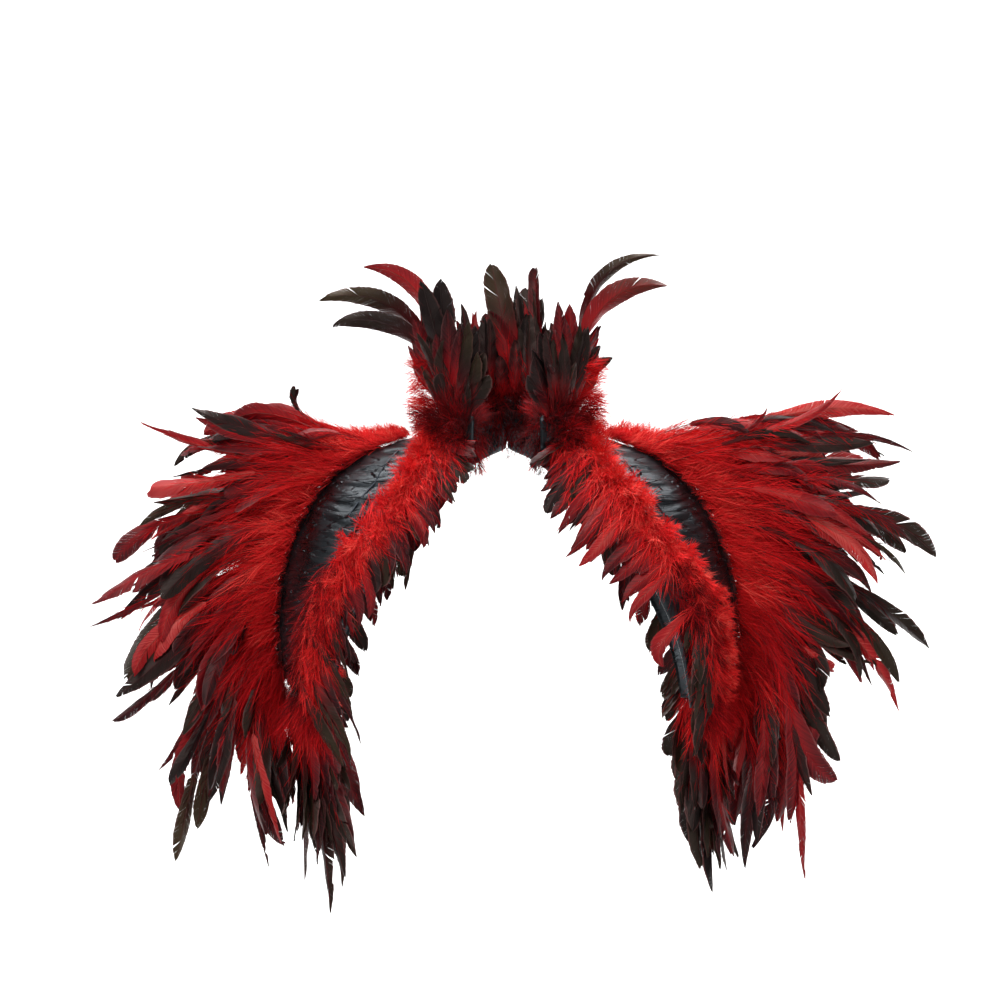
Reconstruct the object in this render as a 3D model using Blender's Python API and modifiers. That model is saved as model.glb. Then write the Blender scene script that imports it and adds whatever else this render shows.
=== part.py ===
"""A feather shoulder cape, standing as it is worn, with nobody in it.

Two satin shoulder capes meet at the nape and carry a short collar stand. Each cape is a cap over
one shoulder: it runs from its front edge over the shoulder seam to its back edge, and from the
neck down to a hem round the upper arm. A pleated satin band lies along the front and the back of
each cape. Feathers are sewn on narrow strips: three wings stand out over each arm, one fan lies
on each side of the chest and of the back, a short row hangs from each hem, and two rows stand up
round the collar.

The frame is in metres, +Z up, and the front faces -Y. The origin is where the neck holds the cape:
the middle of the neck, level with the low end of the shoulder seams. Left and right are as seen
from the front, so left is -X. Tables are in millimetres and give the +X side, unless they say so.
"""

import math
from typing import NamedTuple

import bmesh
import bpy
import numpy as np
from mathutils import Vector

MM = 0.001

# Cloth
WALL = 2.0 * MM  # satin on its stiffening
BAND_WALL = 1.0 * MM
SEAM_GAP = 0.3 * MM
PANEL_ROWS = 20
STAND_HEIGHT = 30.0 * MM
STAND_LEAN = 2.0 * MM  # how far the stand's top edge leans in
STAND_LIFT = 1.3 * MM  # from the neckline's middle to the stand's lower edge
STAND_COLUMNS = 36
FRONT_COLUMNS = (0.0, 0.055, 0.11, 0.205, 0.305, 0.405, 0.45, 0.4992)
PLEATS = 16
ROWS_PER_PLEAT = 3
PLEAT_DEPTH = 1.6 * MM
PLEAT_SLANT = 0.35  # of a pleat's pitch, from one edge of the band to the other
BAND_SPAN = (0.10, 0.935)  # where the band starts and ends, from neck to hem

# Feather strips
STRIP_WIDTH = 10.0 * MM
STRIP_HALF = 1.0 * MM  # half its thickness
STRIP_CLEAR = 0.6 * MM  # from the cloth at its stations, where the strip bends
WING_SPAN = (0.27, 0.93)
WING_LINES = {"front": 0.44, "mid": 0.5, "back": 0.56}
WING_TIP_Y = {"front": -46.0 * MM, "mid": 0.0, "back": 46.0 * MM}
CHEST_SPAN = (0.05, 0.925)
CHEST_LINE = 0.095
HEM_LINE = 0.964
HEM_SPAN = (0.03, 0.40)
COLLAR_LOW = {"outer": 9.0 * MM, "inner": 11.0 * MM}
COLLAR_COUNT = {"outer": 24, "inner": 14}
COLLAR_CLOSE = 0.6  # how far the foremost plumes lean in towards each other
TURN_TO_FRONT = (48, 128)  # degrees round the neck where plumes turn their flat side forward
FEATHER_HALF = 0.7 * MM  # half a blade's thickness
BLADE_RINGS = ((0.30, 0.62), (0.58, 1.0), (0.84, 0.72))  # share of length, share of width
TURNED_RINGS = ((0.20, 0.62), (0.42, 0.85), (0.64, 1.0), (0.86, 0.7))
STAGGER = 7.0 * MM  # neighbours in one row lie this far before and behind their row


class Section(NamedTuple):
    """One cross-section of the +X cape, from its front edge over its ridge to its back edge."""

    ridge_x: float
    ridge_z: float
    front_x: float
    front_y: float
    front_z: float
    back_x: float
    back_y: float
    back_z: float


# Evenly spaced from the neckline to the hem. The ridge is at y = 0, along the shoulder seam.
SECTIONS = (
    Section(64, 6, 33, -54, -10, 0, 64, 16),
    Section(85, 3, 47, -67, -32, 0, 78, -4),
    Section(112, -4, 67, -80, -54, 30, 89, -20),
    Section(144, -17, 91, -90, -80, 72, 101, -54),
    Section(176, -43, 115, -96, -108, 106, 106, -94),
    Section(202, -83, 137, -96, -138, 134, 102, -136),
    Section(218, -128, 155, -89, -172, 154, 92, -176),
    Section(224, -174, 167, -79, -205, 167, 80, -209),
    Section(221, -219, 174, -70, -235, 174, 70, -237),
    Section(213, -262, 178, -62, -262, 178, 62, -262),
)


class Tip(NamedTuple):
    """Where a feather ends. Chest and hem rows give their own depth, wings take their row's."""

    x: float
    z: float
    y: float = 0.0


# Wing feathers from the neck end of the strip, over the arm, to its lower end.
WING_TIPS = {
    "left": (
        Tip(210, 45), Tip(301, 26), Tip(350, 14), Tip(316, -29), Tip(342, -48), Tip(345, -76),
        Tip(378, -115), Tip(392, -156), Tip(413, -186), Tip(365, -232), Tip(382, -272),
        Tip(337, -321), Tip(321, -344), Tip(319, -408), Tip(264, -384), Tip(233, -402),
    ),
    "right": (
        Tip(256, 33), Tip(322, 48), Tip(378, 23), Tip(393, -16), Tip(371, -42), Tip(376, -80),
        Tip(418, -119), Tip(384, -148), Tip(410, -207), Tip(379, -261), Tip(324, -258),
        Tip(322, -309), Tip(319, -340), Tip(290, -431), Tip(258, -398), Tip(234, -420),
    ),
}  # fmt: skip

# Chest feathers from the collar down to the end of the front edge.
CHEST_TIPS = {
    "left": (
        Tip(33, -15, -78), Tip(38, -41, -88), Tip(52, -64, -98), Tip(65, -87, -106),
        Tip(78, -108, -110), Tip(94, -129, -112), Tip(112, -150, -112), Tip(131, -173, -110),
        Tip(145, -198, -106), Tip(154, -225, -102), Tip(159, -250, -96), Tip(161, -277, -92),
    ),
    "right": (
        Tip(21, -27, -78), Tip(25, -52, -88), Tip(36, -73, -98), Tip(40, -96, -108),
        Tip(51, -115, -112), Tip(65, -132, -114), Tip(86, -146, -114), Tip(107, -172, -112),
        Tip(133, -218, -112), Tip(160, -222, -106), Tip(172, -250, -100), Tip(180, -278, -94),
    ),
}  # fmt: skip
BACK_TIPS = (
    Tip(86, -88, 116), Tip(98, -114, 122), Tip(112, -140, 125), Tip(126, -166, 124),
    Tip(138, -192, 120), Tip(148, -218, 114), Tip(156, -242, 108), Tip(162, -266, 101),
    Tip(166, -290, 95),
)  # fmt: skip

# Hem feathers from the body side outwards. The back row is the same, mirrored behind the arm.
HEM_TIPS = {
    "left": (
        Tip(147, -388, -84), Tip(156, -425, -82), Tip(170, -462, -80),
        Tip(184, -414, -76), Tip(196, -434, -72), Tip(206, -393, -66),
    ),
    "right": (
        Tip(179, -380, -84), Tip(188, -415, -82), Tip(199, -440, -80),
        Tip(207, -409, -76), Tip(214, -425, -72), Tip(219, -389, -66),
    ),
}  # fmt: skip


class Plume(NamedTuple):
    """A collar feather's lean and height at an angle round the neck, 0 at the front opening."""

    angle: float
    reach: float
    height: float


COLLAR_PLUMES = {
    "left": (
        Plume(20, 78, 100), Plume(45, 92, 150), Plume(62, 150, 172), Plume(76, 190, 140),
        Plume(92, 176, 116), Plume(112, 120, 172), Plume(140, 104, 160), Plume(180, 92, 192),
    ),
    "right": (
        Plume(20, 72, 92), Plume(45, 84, 128), Plume(62, 120, 160), Plume(76, 158, 187),
        Plume(92, 162, 150), Plume(112, 112, 156), Plume(140, 98, 176), Plume(180, 92, 192),
    ),
}  # fmt: skip
INNER_PLUMES = (Plume(20, 62, 90), Plume(90, 64, 118), Plume(180, 70, 150))

COLOURS = {
    "satin": (0.018, 0.020, 0.026),
    "pleated_satin": (0.030, 0.034, 0.042),
    "red_feather": (0.42, 0.010, 0.014),
    "dark_feather": (0.075, 0.016, 0.018),
}
ROUGHNESS = {"satin": 0.42, "pleated_satin": 0.34, "red_feather": 0.75, "dark_feather": 0.55}


def unit(vector):
    return vector / np.linalg.norm(vector)


def section_at(down):
    """The section's eight numbers at a share of the way from neck to hem, on a smooth curve."""
    rows = np.array(SECTIONS) * MM
    place = down * (len(rows) - 1)
    low = min(int(place), len(rows) - 2)
    t = place - low
    before, start, end, after = (
        rows[min(max(low + step, 0), len(rows) - 1)] for step in (-1, 0, 1, 2)
    )
    pull_in, pull_out = (end - before) / 2, (after - start) / 2
    bend = (2 * t**3 - 3 * t**2 + 1) * start + (t**3 - 2 * t**2 + t) * pull_in
    return bend + (3 * t**2 - 2 * t**3) * end + (t**3 - t**2) * pull_out


def cape_point(across, down, side=1):
    """A point of the cape's middle surface: across runs from front edge 0 to back edge 1."""
    row = Section(*section_at(down))
    if across <= 0.5:
        share, edge = across / 0.5, (row.front_x, row.front_y, row.front_z)
    else:
        share, edge = (1 - across) / 0.5, (row.back_x, row.back_y, row.back_z)
    turn = share * math.pi / 2
    x = edge[0] + (row.ridge_x - edge[0]) * math.sin(turn)
    y = edge[1] * math.cos(turn)
    z = edge[2] + (row.ridge_z - edge[2]) * math.sin(turn)
    return np.array((side * max(x, SEAM_GAP / 2), y, z))


def cape_ways(across, down, side=1):
    """Unit vectors at a point of the cape: towards the back edge, towards the hem, and outwards."""
    step = 0.004
    a, b = max(across - step, 0), min(across + step, 1)
    back = unit(cape_point(b, down) - cape_point(a, down))
    a, b = max(down - step, 0), min(down + step, 1)
    hem = unit(cape_point(across, b) - cape_point(across, a))
    out = unit(np.cross(hem, back))
    mirror = np.array((side, 1, 1))
    return back * mirror, hem * mirror, out * mirror


def stand_point(turn, height):
    """A point of the collar stand: turn runs from -1 at the left front, by 0 at the nape, to 1."""
    side = math.copysign(1, turn)
    point = cape_point(1 - abs(turn), 0, side)
    if turn == 0:
        point[0] = 0
    lean = unit(point * (1, 1, 0)) * STAND_LEAN * height / STAND_HEIGHT
    return point - lean + np.array((0, 0, STAND_LIFT + height))


def stand_out(turn, height):
    """The way out from the collar stand's surface."""
    step = 0.02
    along = stand_point(min(turn + step, 1), height) - stand_point(max(turn - step, -1), height)
    up = stand_point(turn, STAND_HEIGHT) - stand_point(turn, 0)
    out = unit(np.cross(along, up))
    return out if out @ (stand_point(turn, height) * (1, 1, 0)) > 0 else -out


def shell(name, rows, wall, material):
    """A cloth wall: an open grid of points, given its thickness by Solidify."""
    bm = bmesh.new()
    grid = [[bm.verts.new(point) for point in row] for row in rows]
    for upper, lower in zip(grid, grid[1:]):
        for i in range(len(upper) - 1):
            bm.faces.new((upper[i], upper[i + 1], lower[i + 1], lower[i]))
    mesh = bpy.data.meshes.new(name)
    bm.to_mesh(mesh)
    bm.free()
    cloth = place(name, mesh, material)
    solidify = cloth.modifiers.new("wall", "SOLIDIFY")
    solidify.thickness = wall
    solidify.offset = 0
    return cloth


def place(name, mesh, material):
    mesh.materials.append(material)
    mesh.shade_smooth()
    mesh.set_sharp_from_angle(angle=math.radians(40))
    obj = bpy.data.objects.new(name, mesh)
    bpy.data.collections["feather_cape"].objects.link(obj)
    return obj


def cape_panel(name, columns, side, material):
    downs = np.linspace(0, 1, PANEL_ROWS + 1)
    shell(name, [[cape_point(a, d, side) for a in columns] for d in downs], WALL, material)


def satin_band(name, columns, side, material):
    """Satin gathered into pleats that cross it, on the panel's own columns, moved out."""
    first, last = BAND_SPAN
    count = PLEATS * ROWS_PER_PLEAT
    rows = []
    for i in range(count + 1):
        down = first + (last - first) * i / count
        row = []
        for j, across in enumerate(columns):
            phase = i / ROWS_PER_PLEAT + PLEAT_SLANT * j / len(columns)
            deep = 0.65 + 0.35 * math.sin(5.1 * int(i / ROWS_PER_PLEAT))
            fold = PLEAT_DEPTH * deep * (0.5 - 0.5 * math.cos(2 * math.pi * phase))
            lift = (WALL + BAND_WALL) / 2 + 1.5 * SEAM_GAP + fold
            row.append(cape_point(across, down, side) + cape_ways(across, down, side)[2] * lift)
        rows.append(row)
    shell(name, rows, BAND_WALL, material)


class Station(NamedTuple):
    """One end of a strip's segment: its sewn edge, the way its feathers leave, and its face."""

    base: np.ndarray
    out: np.ndarray
    face: np.ndarray


class Feather(NamedTuple):
    tip: np.ndarray
    width: float
    rise: float  # how far its middle stands off its strip's face
    reach: float = 0.42  # the share of its length that it keeps to the strip's own direction
    facing: np.ndarray | None = None  # the way its flat side turns, when not its strip's way


def grow(bm, root, start, feather):
    """Draws one blade out of its own face of the strip, ring by ring, to its tip."""
    centre = np.array(root.calc_center_median())
    across = unit(np.array(root.verts[0].co - root.verts[3].co))
    face = start.face
    length = np.linalg.norm(feather.tip - centre)
    knee = centre + start.out * length * feather.reach + face * feather.rise
    rings = BLADE_RINGS if feather.facing is None else TURNED_RINGS
    for share, wide in (*rings, (1.0, 0.0)):
        spine = (1 - share) ** 2 * centre + 2 * share * (1 - share) * knee
        spine = spine + share**2 * feather.tip
        tangent = unit((1 - share) * (knee - centre) + share * (feather.tip - knee))
        flat = start.face
        if feather.facing is not None:
            flat = unit(start.face * (1 - share) + feather.facing * share)
        wide_way = unit(np.cross(tangent, flat))
        wide_way = wide_way if wide_way @ across > 0 else -wide_way
        face_way = np.cross(wide_way, tangent)
        face_way = face_way if face_way @ face > 0 else -face_way
        middle = np.array(root.calc_center_median())
        root = bmesh.ops.extrude_discrete_faces(bm, faces=[root])["faces"][0]
        for vert in root.verts:
            corner = np.array(vert.co) - middle
            sideways = math.copysign(feather.width / 2 * wide, corner @ across)
            upwards = math.copysign(FEATHER_HALF, corner @ face)
            vert.co = Vector(spine + wide_way * sideways + face_way * upwards)
        across, face = wide_way, face_way
    bmesh.ops.pointmerge(bm, verts=root.verts[:], merge_co=Vector(feather.tip))


def comb(name, stations, feathers, material):
    """A narrow strip whose outer edge is one face a feather, each drawn out into its blade."""
    bm = bmesh.new()
    rings = []
    for station in stations:
        edge = station.base + station.out * STRIP_WIDTH
        half = station.face * STRIP_HALF
        corners = (station.base - half, station.base + half, edge + half, edge - half)
        rings.append([bm.verts.new(corner) for corner in corners])
    roots = []
    for a, b in zip(rings, rings[1:]):
        for i in (0, 1, 3):
            j = (i + 1) % 4
            bm.faces.new((a[i], a[j], b[j], b[i]))
        roots.append(bm.faces.new((a[2], a[3], b[3], b[2])))
    bm.faces.new(rings[0])
    bm.faces.new(rings[-1])
    for root, a, b, feather in zip(roots, stations, stations[1:], feathers):
        out, face = unit(a.out + b.out), unit(a.face + b.face)
        grow(bm, root, Station(a.base, out, face), feather)
    bmesh.ops.recalc_face_normals(bm, faces=bm.faces)
    mesh = bpy.data.meshes.new(name)
    bm.to_mesh(mesh)
    bm.free()
    place(name, mesh, material)


def off_cloth(point, out_of_cloth, leave, along):
    """A strip's station on the cloth, clear of it by the same gap however it leans."""
    face = unit(np.cross(along, leave))
    lean = abs(face @ out_of_cloth)
    flat = abs(leave @ out_of_cloth) < 0.2
    lift = WALL / 2 + STRIP_CLEAR + STRIP_HALF * (1 if flat else lean)
    return Station(point + out_of_cloth * lift, leave, face)


def spread(span, count):
    return np.linspace(span[0], span[1], count + 1)


def wing_stations(row, side, count):
    """A fin along the shoulder: its feathers leave sideways near the neck, and droop lower down."""
    line = WING_LINES[row]
    stations = []
    for down in spread(WING_SPAN, count):
        _, hem, out = cape_ways(line, down, side)
        sideways = np.array((side, 0, 0)) * np.interp(down, (0.25, 0.6, 1), (2.6, 0.9, 0.5))
        leave = unit(out + sideways + hem * 1.2 * down**3)
        stations.append(off_cloth(cape_point(line, down, side), out, leave, hem * side))
    return stations


def wing(row, side_name, side, tips, material):
    feathers = []
    for i, tip in enumerate(tips):
        stagger = STAGGER * (1 if i % 2 else -1)
        point = np.array((side * tip.x * MM, WING_TIP_Y[row] + stagger, tip.z * MM))
        feathers.append(Feather(point, 20 * MM, 0.0, 0.34))
    comb(f"wing_{row}_{side_name}", wing_stations(row, side, len(tips)), feathers, material)


def between(tips, share):
    """One tip fewer, each between two neighbours, at a share of the way out from the shoulder."""
    middle_x, middle_z = 200, -130
    found = []
    for a, b in zip(tips, tips[1:]):
        x, z = (a.x + b.x) / 2, (a.z + b.z) / 2
        found.append(Tip(middle_x + (x - middle_x) * share, middle_z + (z - middle_z) * share))
    return found


def flat_stations(line, downs, side, front):
    """A strip that lies on the cape beside its front or back edge, pointing over that edge."""
    across = line if front else 1 - line
    stations = []
    for down in downs:
        back, hem, out = cape_ways(across, down, side)
        leave = -back if front else back
        stations.append(off_cloth(cape_point(across, down, side), out, leave, hem))
    return [face_outwards(s, side, front) for s in stations]


def face_outwards(station, side, front):
    """The same station with its face towards the viewer on the front, away from them behind."""
    wanted = np.array((side * 0.3, -1.0 if front else 1.0, 0.2))
    face = station.face if station.face @ wanted > 0 else -station.face
    return Station(station.base, station.out, face)


def fan(name, span, tips, side, front, material):
    """A flat fan of feathers beside the front or the back edge of one cape."""
    feathers = []
    for i, tip in enumerate(tips):
        rise = (9 if i % 2 else 3) * MM
        stagger = (4 if i % 2 else 0) * MM * (-1 if front else 1)
        point = np.array((side * tip.x * MM, tip.y * MM + stagger, tip.z * MM))
        feathers.append(Feather(point, 24 * MM, rise, 0.45))
    stations = flat_stations(CHEST_LINE, spread(span, len(tips)), side, front)
    comb(name, stations, feathers, material)


def hem_row(name, tips, side, front, material):
    """A short row that hangs from the hem, in front of the arm or behind it."""
    stations = []
    for across in spread(HEM_SPAN, len(tips)):
        across = across if front else 1 - across
        back, hem, out = cape_ways(across, HEM_LINE, side)
        stations.append(off_cloth(cape_point(across, HEM_LINE, side), out, hem, back))
    stations = [face_outwards(s, side, front) for s in stations]
    feathers = []
    for i, tip in enumerate(tips):
        depth = tip.y if front else -tip.y
        rise = (3 if i % 2 else -2) * MM
        point = np.array((side * tip.x * MM, depth * MM, tip.z * MM))
        feathers.append(Feather(point, 15 * MM, rise, 0.3))
    comb(name, stations, feathers, material)


def plume_at(plumes, angle):
    angles, reaches, heights = np.array(plumes).T
    return np.interp(angle, angles, reaches) * MM, np.interp(angle, angles, heights) * MM


def collar_row(row, plumes, material):
    """Feathers round the outside or the inside of the stand, all standing up."""
    outward = 1 if row == "outer" else -1
    low = COLLAR_LOW[row]
    stations = []
    for turn in np.linspace(-0.985, 0.985, COLLAR_COUNT[row] + 1):
        out = stand_out(turn, low) * outward
        up = unit(stand_point(turn, STAND_HEIGHT) - stand_point(turn, 0))
        point = stand_point(turn, low) + out * (WALL / 2 + STRIP_CLEAR + STRIP_HALF)
        stations.append(Station(point, up, out))
    feathers = []
    for i in range(COLLAR_COUNT[row]):
        middle = (stations[i].base + stations[i + 1].base) / 2
        angle = math.degrees(math.atan2(abs(middle[0]), -middle[1]))
        side_name = "left" if middle[0] < 0 else "right"
        reach, height = plume_at(plumes[side_name], angle)
        uneven = 1 if i % 2 else 0.86
        point = unit(middle * (1, 1, 0)) * reach * uneven + np.array((0, 0, height * uneven))
        point[0] *= np.interp(angle, (30, 60), (COLLAR_CLOSE, 1))
        rise = (5 if i % 2 else 1) * MM * (outward > 0)
        turned = TURN_TO_FRONT[0] < angle < TURN_TO_FRONT[1] and outward > 0
        facing = np.array((0, -1.0, 0)) if turned else None
        upright = 0.62 if turned else 0.5
        feathers.append(Feather(point, 17 * MM, rise, upright, facing))
    comb(f"collar_feathers_{row}", stations, feathers, material)


def finish(name):
    material = bpy.data.materials.new(name)
    material.use_nodes = True
    shader = material.node_tree.nodes["Principled BSDF"]
    shader.inputs["Base Color"].default_value = (*COLOURS[name], 1)
    shader.inputs["Roughness"].default_value = ROUGHNESS[name]
    shader.inputs["Metallic"].default_value = 0
    return material


def collar_stand(material):
    turns = np.linspace(-1, 1, STAND_COLUMNS + 1)
    heights = (0, STAND_HEIGHT / 2, STAND_HEIGHT)
    rows = [[stand_point(turn, height) for turn in turns] for height in heights]
    shell("collar_stand", rows, WALL, material)


def main():
    for obj in list(bpy.data.objects):
        bpy.data.objects.remove(obj)
    collection = bpy.data.collections.new("feather_cape")
    bpy.context.scene.collection.children.link(collection)
    satin, pleated = finish("satin"), finish("pleated_satin")
    red, dark = finish("red_feather"), finish("dark_feather")
    back_columns = tuple(1 - across for across in reversed(FRONT_COLUMNS))
    band_columns = FRONT_COLUMNS[2:6]
    for side_name, side in (("left", -1), ("right", 1)):
        cape_panel(f"cape_front_{side_name}", FRONT_COLUMNS, side, satin)
        cape_panel(f"cape_back_{side_name}", back_columns, side, satin)
        satin_band(f"satin_band_front_{side_name}", band_columns, side, pleated)
        back_band = [1 - across for across in reversed(band_columns)]
        satin_band(f"satin_band_back_{side_name}", back_band, side, pleated)
        tips = WING_TIPS[side_name]
        wing("front", side_name, side, tips, red)
        wing("mid", side_name, side, between(tips, 0.94), red)
        wing("back", side_name, side, between(tips, 0.98), red)
        fan(f"chest_feathers_{side_name}", CHEST_SPAN, CHEST_TIPS[side_name], side, True, red)
        fan(f"back_feathers_{side_name}", (0.27, 0.925), BACK_TIPS, side, False, red)
        hem_row(f"hem_feathers_front_{side_name}", HEM_TIPS[side_name], side, True, dark)
        hem_row(f"hem_feathers_back_{side_name}", HEM_TIPS[side_name], side, False, dark)
    collar_stand(satin)
    collar_row("outer", COLLAR_PLUMES, dark)
    collar_row("inner", {"left": INNER_PLUMES, "right": INNER_PLUMES}, dark)


main()
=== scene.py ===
"""The looks of a feather shoulder cape: dyed rooster feathers, red down and pleated black satin.

Everything is in metres in the frame of the solids: +Z up, the front faces -Y, the origin in the
middle of the neck. Tables of points are in millimetres and give the +X side. A place on the cape
is a pair of shares: down, from neck to hem, and across, from the front edge to the back edge. Left
and right are as seen from the front, so left is -X. Each strip of feathers, each cloth panel and
each band stands for the solid of the same name.
"""

import math
import zlib
from typing import NamedTuple

import bpy
import numpy as np
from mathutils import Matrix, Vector


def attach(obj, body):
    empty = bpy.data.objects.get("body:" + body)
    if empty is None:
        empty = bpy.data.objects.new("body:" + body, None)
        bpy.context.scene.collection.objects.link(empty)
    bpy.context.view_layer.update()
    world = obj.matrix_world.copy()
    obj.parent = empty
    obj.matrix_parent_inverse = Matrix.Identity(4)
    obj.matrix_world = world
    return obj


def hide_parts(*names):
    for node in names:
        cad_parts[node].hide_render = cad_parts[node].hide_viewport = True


MM = 0.001
UP = np.array((0.0, 0.0, 1.0))
FRONT = np.array((0.0, -1.0, 0.0))
SIDES = {"left": -1, "right": 1}

# Cloth
WALL = 2.0 * MM
SATIN = 1.2 * MM  # satin on its stiffening, as it is seen
BAND_SATIN = 0.8 * MM
BAND_GAP = 0.45 * MM
BAND_COLUMNS = (0.13, 0.42)
BAND_SPAN = (0.10, 0.935)
BAND_GRID = (190, 25)  # points from neck to hem, and across
PLEAT_PITCH = 15.6 * MM  # measured downwards; about 16 pleats, each with a smaller one between
PLEAT_RISE = 3.0 * MM
TUCKS = 23  # more than a band shows, so that none comes twice
NECK_TUCK = 3  # the number of the tuck level with the neck; a few lie higher
PANEL_SPANS = {"front": (0.0, 0.4992), "back": (0.5008, 1.0)}  # a seam's gap between them
PANEL_GRID = (44, 22)
PANEL_CREASE = 1.0 * MM
STAND_HEIGHT = 30.0 * MM
STAND_LEAN = 2.0 * MM
STAND_LIFT = 1.3 * MM
STAND_BELOW = 1.5 * MM  # how far the stand reaches below the neckline
HEM_LINE_LIFT = 1.6 * MM  # from the band to the hem line that shows on it

# Feather strips, as on the solids
STRIP_LIFT = 2.6 * MM  # from the cloth's middle to the strip's
TAPE_WIDTH = 9.0 * MM
WING_SPAN = (0.27, 0.93)
CHEST_SPAN = (0.05, 0.925)
BACK_SPAN = (0.27, 0.925)
CHEST_LINE = 0.095
HEM_LINE = 0.964
HEM_SPAN = (0.03, 0.40)
CURL_LEAN = 1.0  # a feather that leans more than this curls out before it turns down
COLLAR_OPEN = {"outer": 34, "inner": 36, "down": 27}  # degrees from the front with none
COLLAR_DARK = {"plumes": 76, "barbs": 62, "tufts": 66}  # degrees from the front; dark so far
NAPE = 179.5  # degrees from the front; nothing is sewn right at the nape
TURN_TO_FRONT = (48, 128)  # degrees round the neck where plumes turn their flat side forward

# One feather
BARB_GROUP = 3.6 * MM  # barbs cling together in groups about this wide
SPLIT_CHANCE = 0.08  # how often a vane is parted between two groups
BARB_LEAN = 1.25  # how far a barb reaches forward for each unit it reaches out
SHAFT_RADIUS = 0.8 * MM
LOOSE_BARBS = 0.8 / MM  # downy barbs on each metre of a shaft's loose part
DOWN_WIDTH = 0.5 * MM  # real down is finer; this is as coarse as it needs to be to show
DEPTH_LIMIT = (112.0 * MM, 128.0 * MM)  # what would stand out further is pressed back


class Patch(NamedTuple):
    """A patch of the cape with tufts of down: its place, and the tufts' range of length in mm."""

    across: tuple
    down: tuple
    count: int
    length: tuple
    per_tuft: int
    tone: float = 0.68


class WingRow(NamedTuple):
    """A strip of a wing: its line across the cape, how far back it fans, and what it holds."""

    line: float
    depth: float
    feathers: int
    streamers: int
    down: Patch


WING_ROWS = {
    "front": WingRow(0.44, -46.0 * MM, 62, 40, Patch((0.385, 0.48), (0.155, 0.96), 700, (24, 50), 34)),
    "mid": WingRow(0.50, 0.0, 52, 130, Patch((0.46, 0.54), (0.185, 0.96), 460, (24, 50), 34)),
    "back": WingRow(0.56, 46.0 * MM, 52, 130, Patch((0.52, 0.615), (0.185, 0.96), 420, (24, 50), 34)),
}
CORNER_DOWN = Patch((0.36, 0.5), (0.87, 0.985), 80, (26, 44), 30)  # over the band's lower end
# Painted shade: near-black down by the front edge, put where the cloth lies in shadow
EDGE_SHADE_DOWN = Patch((0.04, 0.17), (0.55, 0.98), 130, (20, 34), 26, 0.08)  # dark, by the front edge
HEM_DOWN = {
    "front": Patch((0.01, 0.46), (0.93, 0.99), 70, (24, 40), 30, 0.3),
    "back": Patch((0.54, 0.99), (0.93, 0.99), 70, (24, 40), 30, 0.3),
}


class Section(NamedTuple):
    """One cross-section of the +X cape, from its front edge over its ridge to its back edge."""

    ridge_x: float
    ridge_z: float
    front_x: float
    front_y: float
    front_z: float
    back_x: float
    back_y: float
    back_z: float


SECTIONS = (
    Section(64, 6, 33, -54, -10, 0, 64, 16),
    Section(85, 3, 47, -67, -32, 0, 78, -4),
    Section(112, -4, 67, -80, -54, 30, 89, -20),
    Section(144, -17, 91, -90, -80, 72, 101, -54),
    Section(176, -43, 115, -96, -108, 106, 106, -94),
    Section(202, -83, 137, -96, -138, 134, 102, -136),
    Section(218, -128, 155, -89, -172, 154, 92, -176),
    Section(224, -174, 167, -79, -205, 167, 80, -209),
    Section(221, -219, 174, -70, -235, 174, 70, -237),
    Section(213, -262, 178, -62, -262, 178, 62, -262),
)


class Tip(NamedTuple):
    """A feather's end, its dye from 0, light red, to 1, black, its width, and how round it is."""

    x: float
    z: float
    y: float
    dye: float
    width: float
    blunt: float
    lean: float = 0.0  # how much its end turns outwards, or inwards if negative


class Blade(NamedTuple):
    """A long wing feather: its end, as Tip, and the way it points there.

    aim is in degrees, 0 straight outwards and 90 up. web is the share of the shaft with loose
    barbs, before the vane starts.
    """

    x: float
    z: float
    aim: float
    width: float
    dye: float
    blunt: float
    web: float
    bronze: float = 0.0
    rim: float = 0.4
    y: float = 0.0


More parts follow.
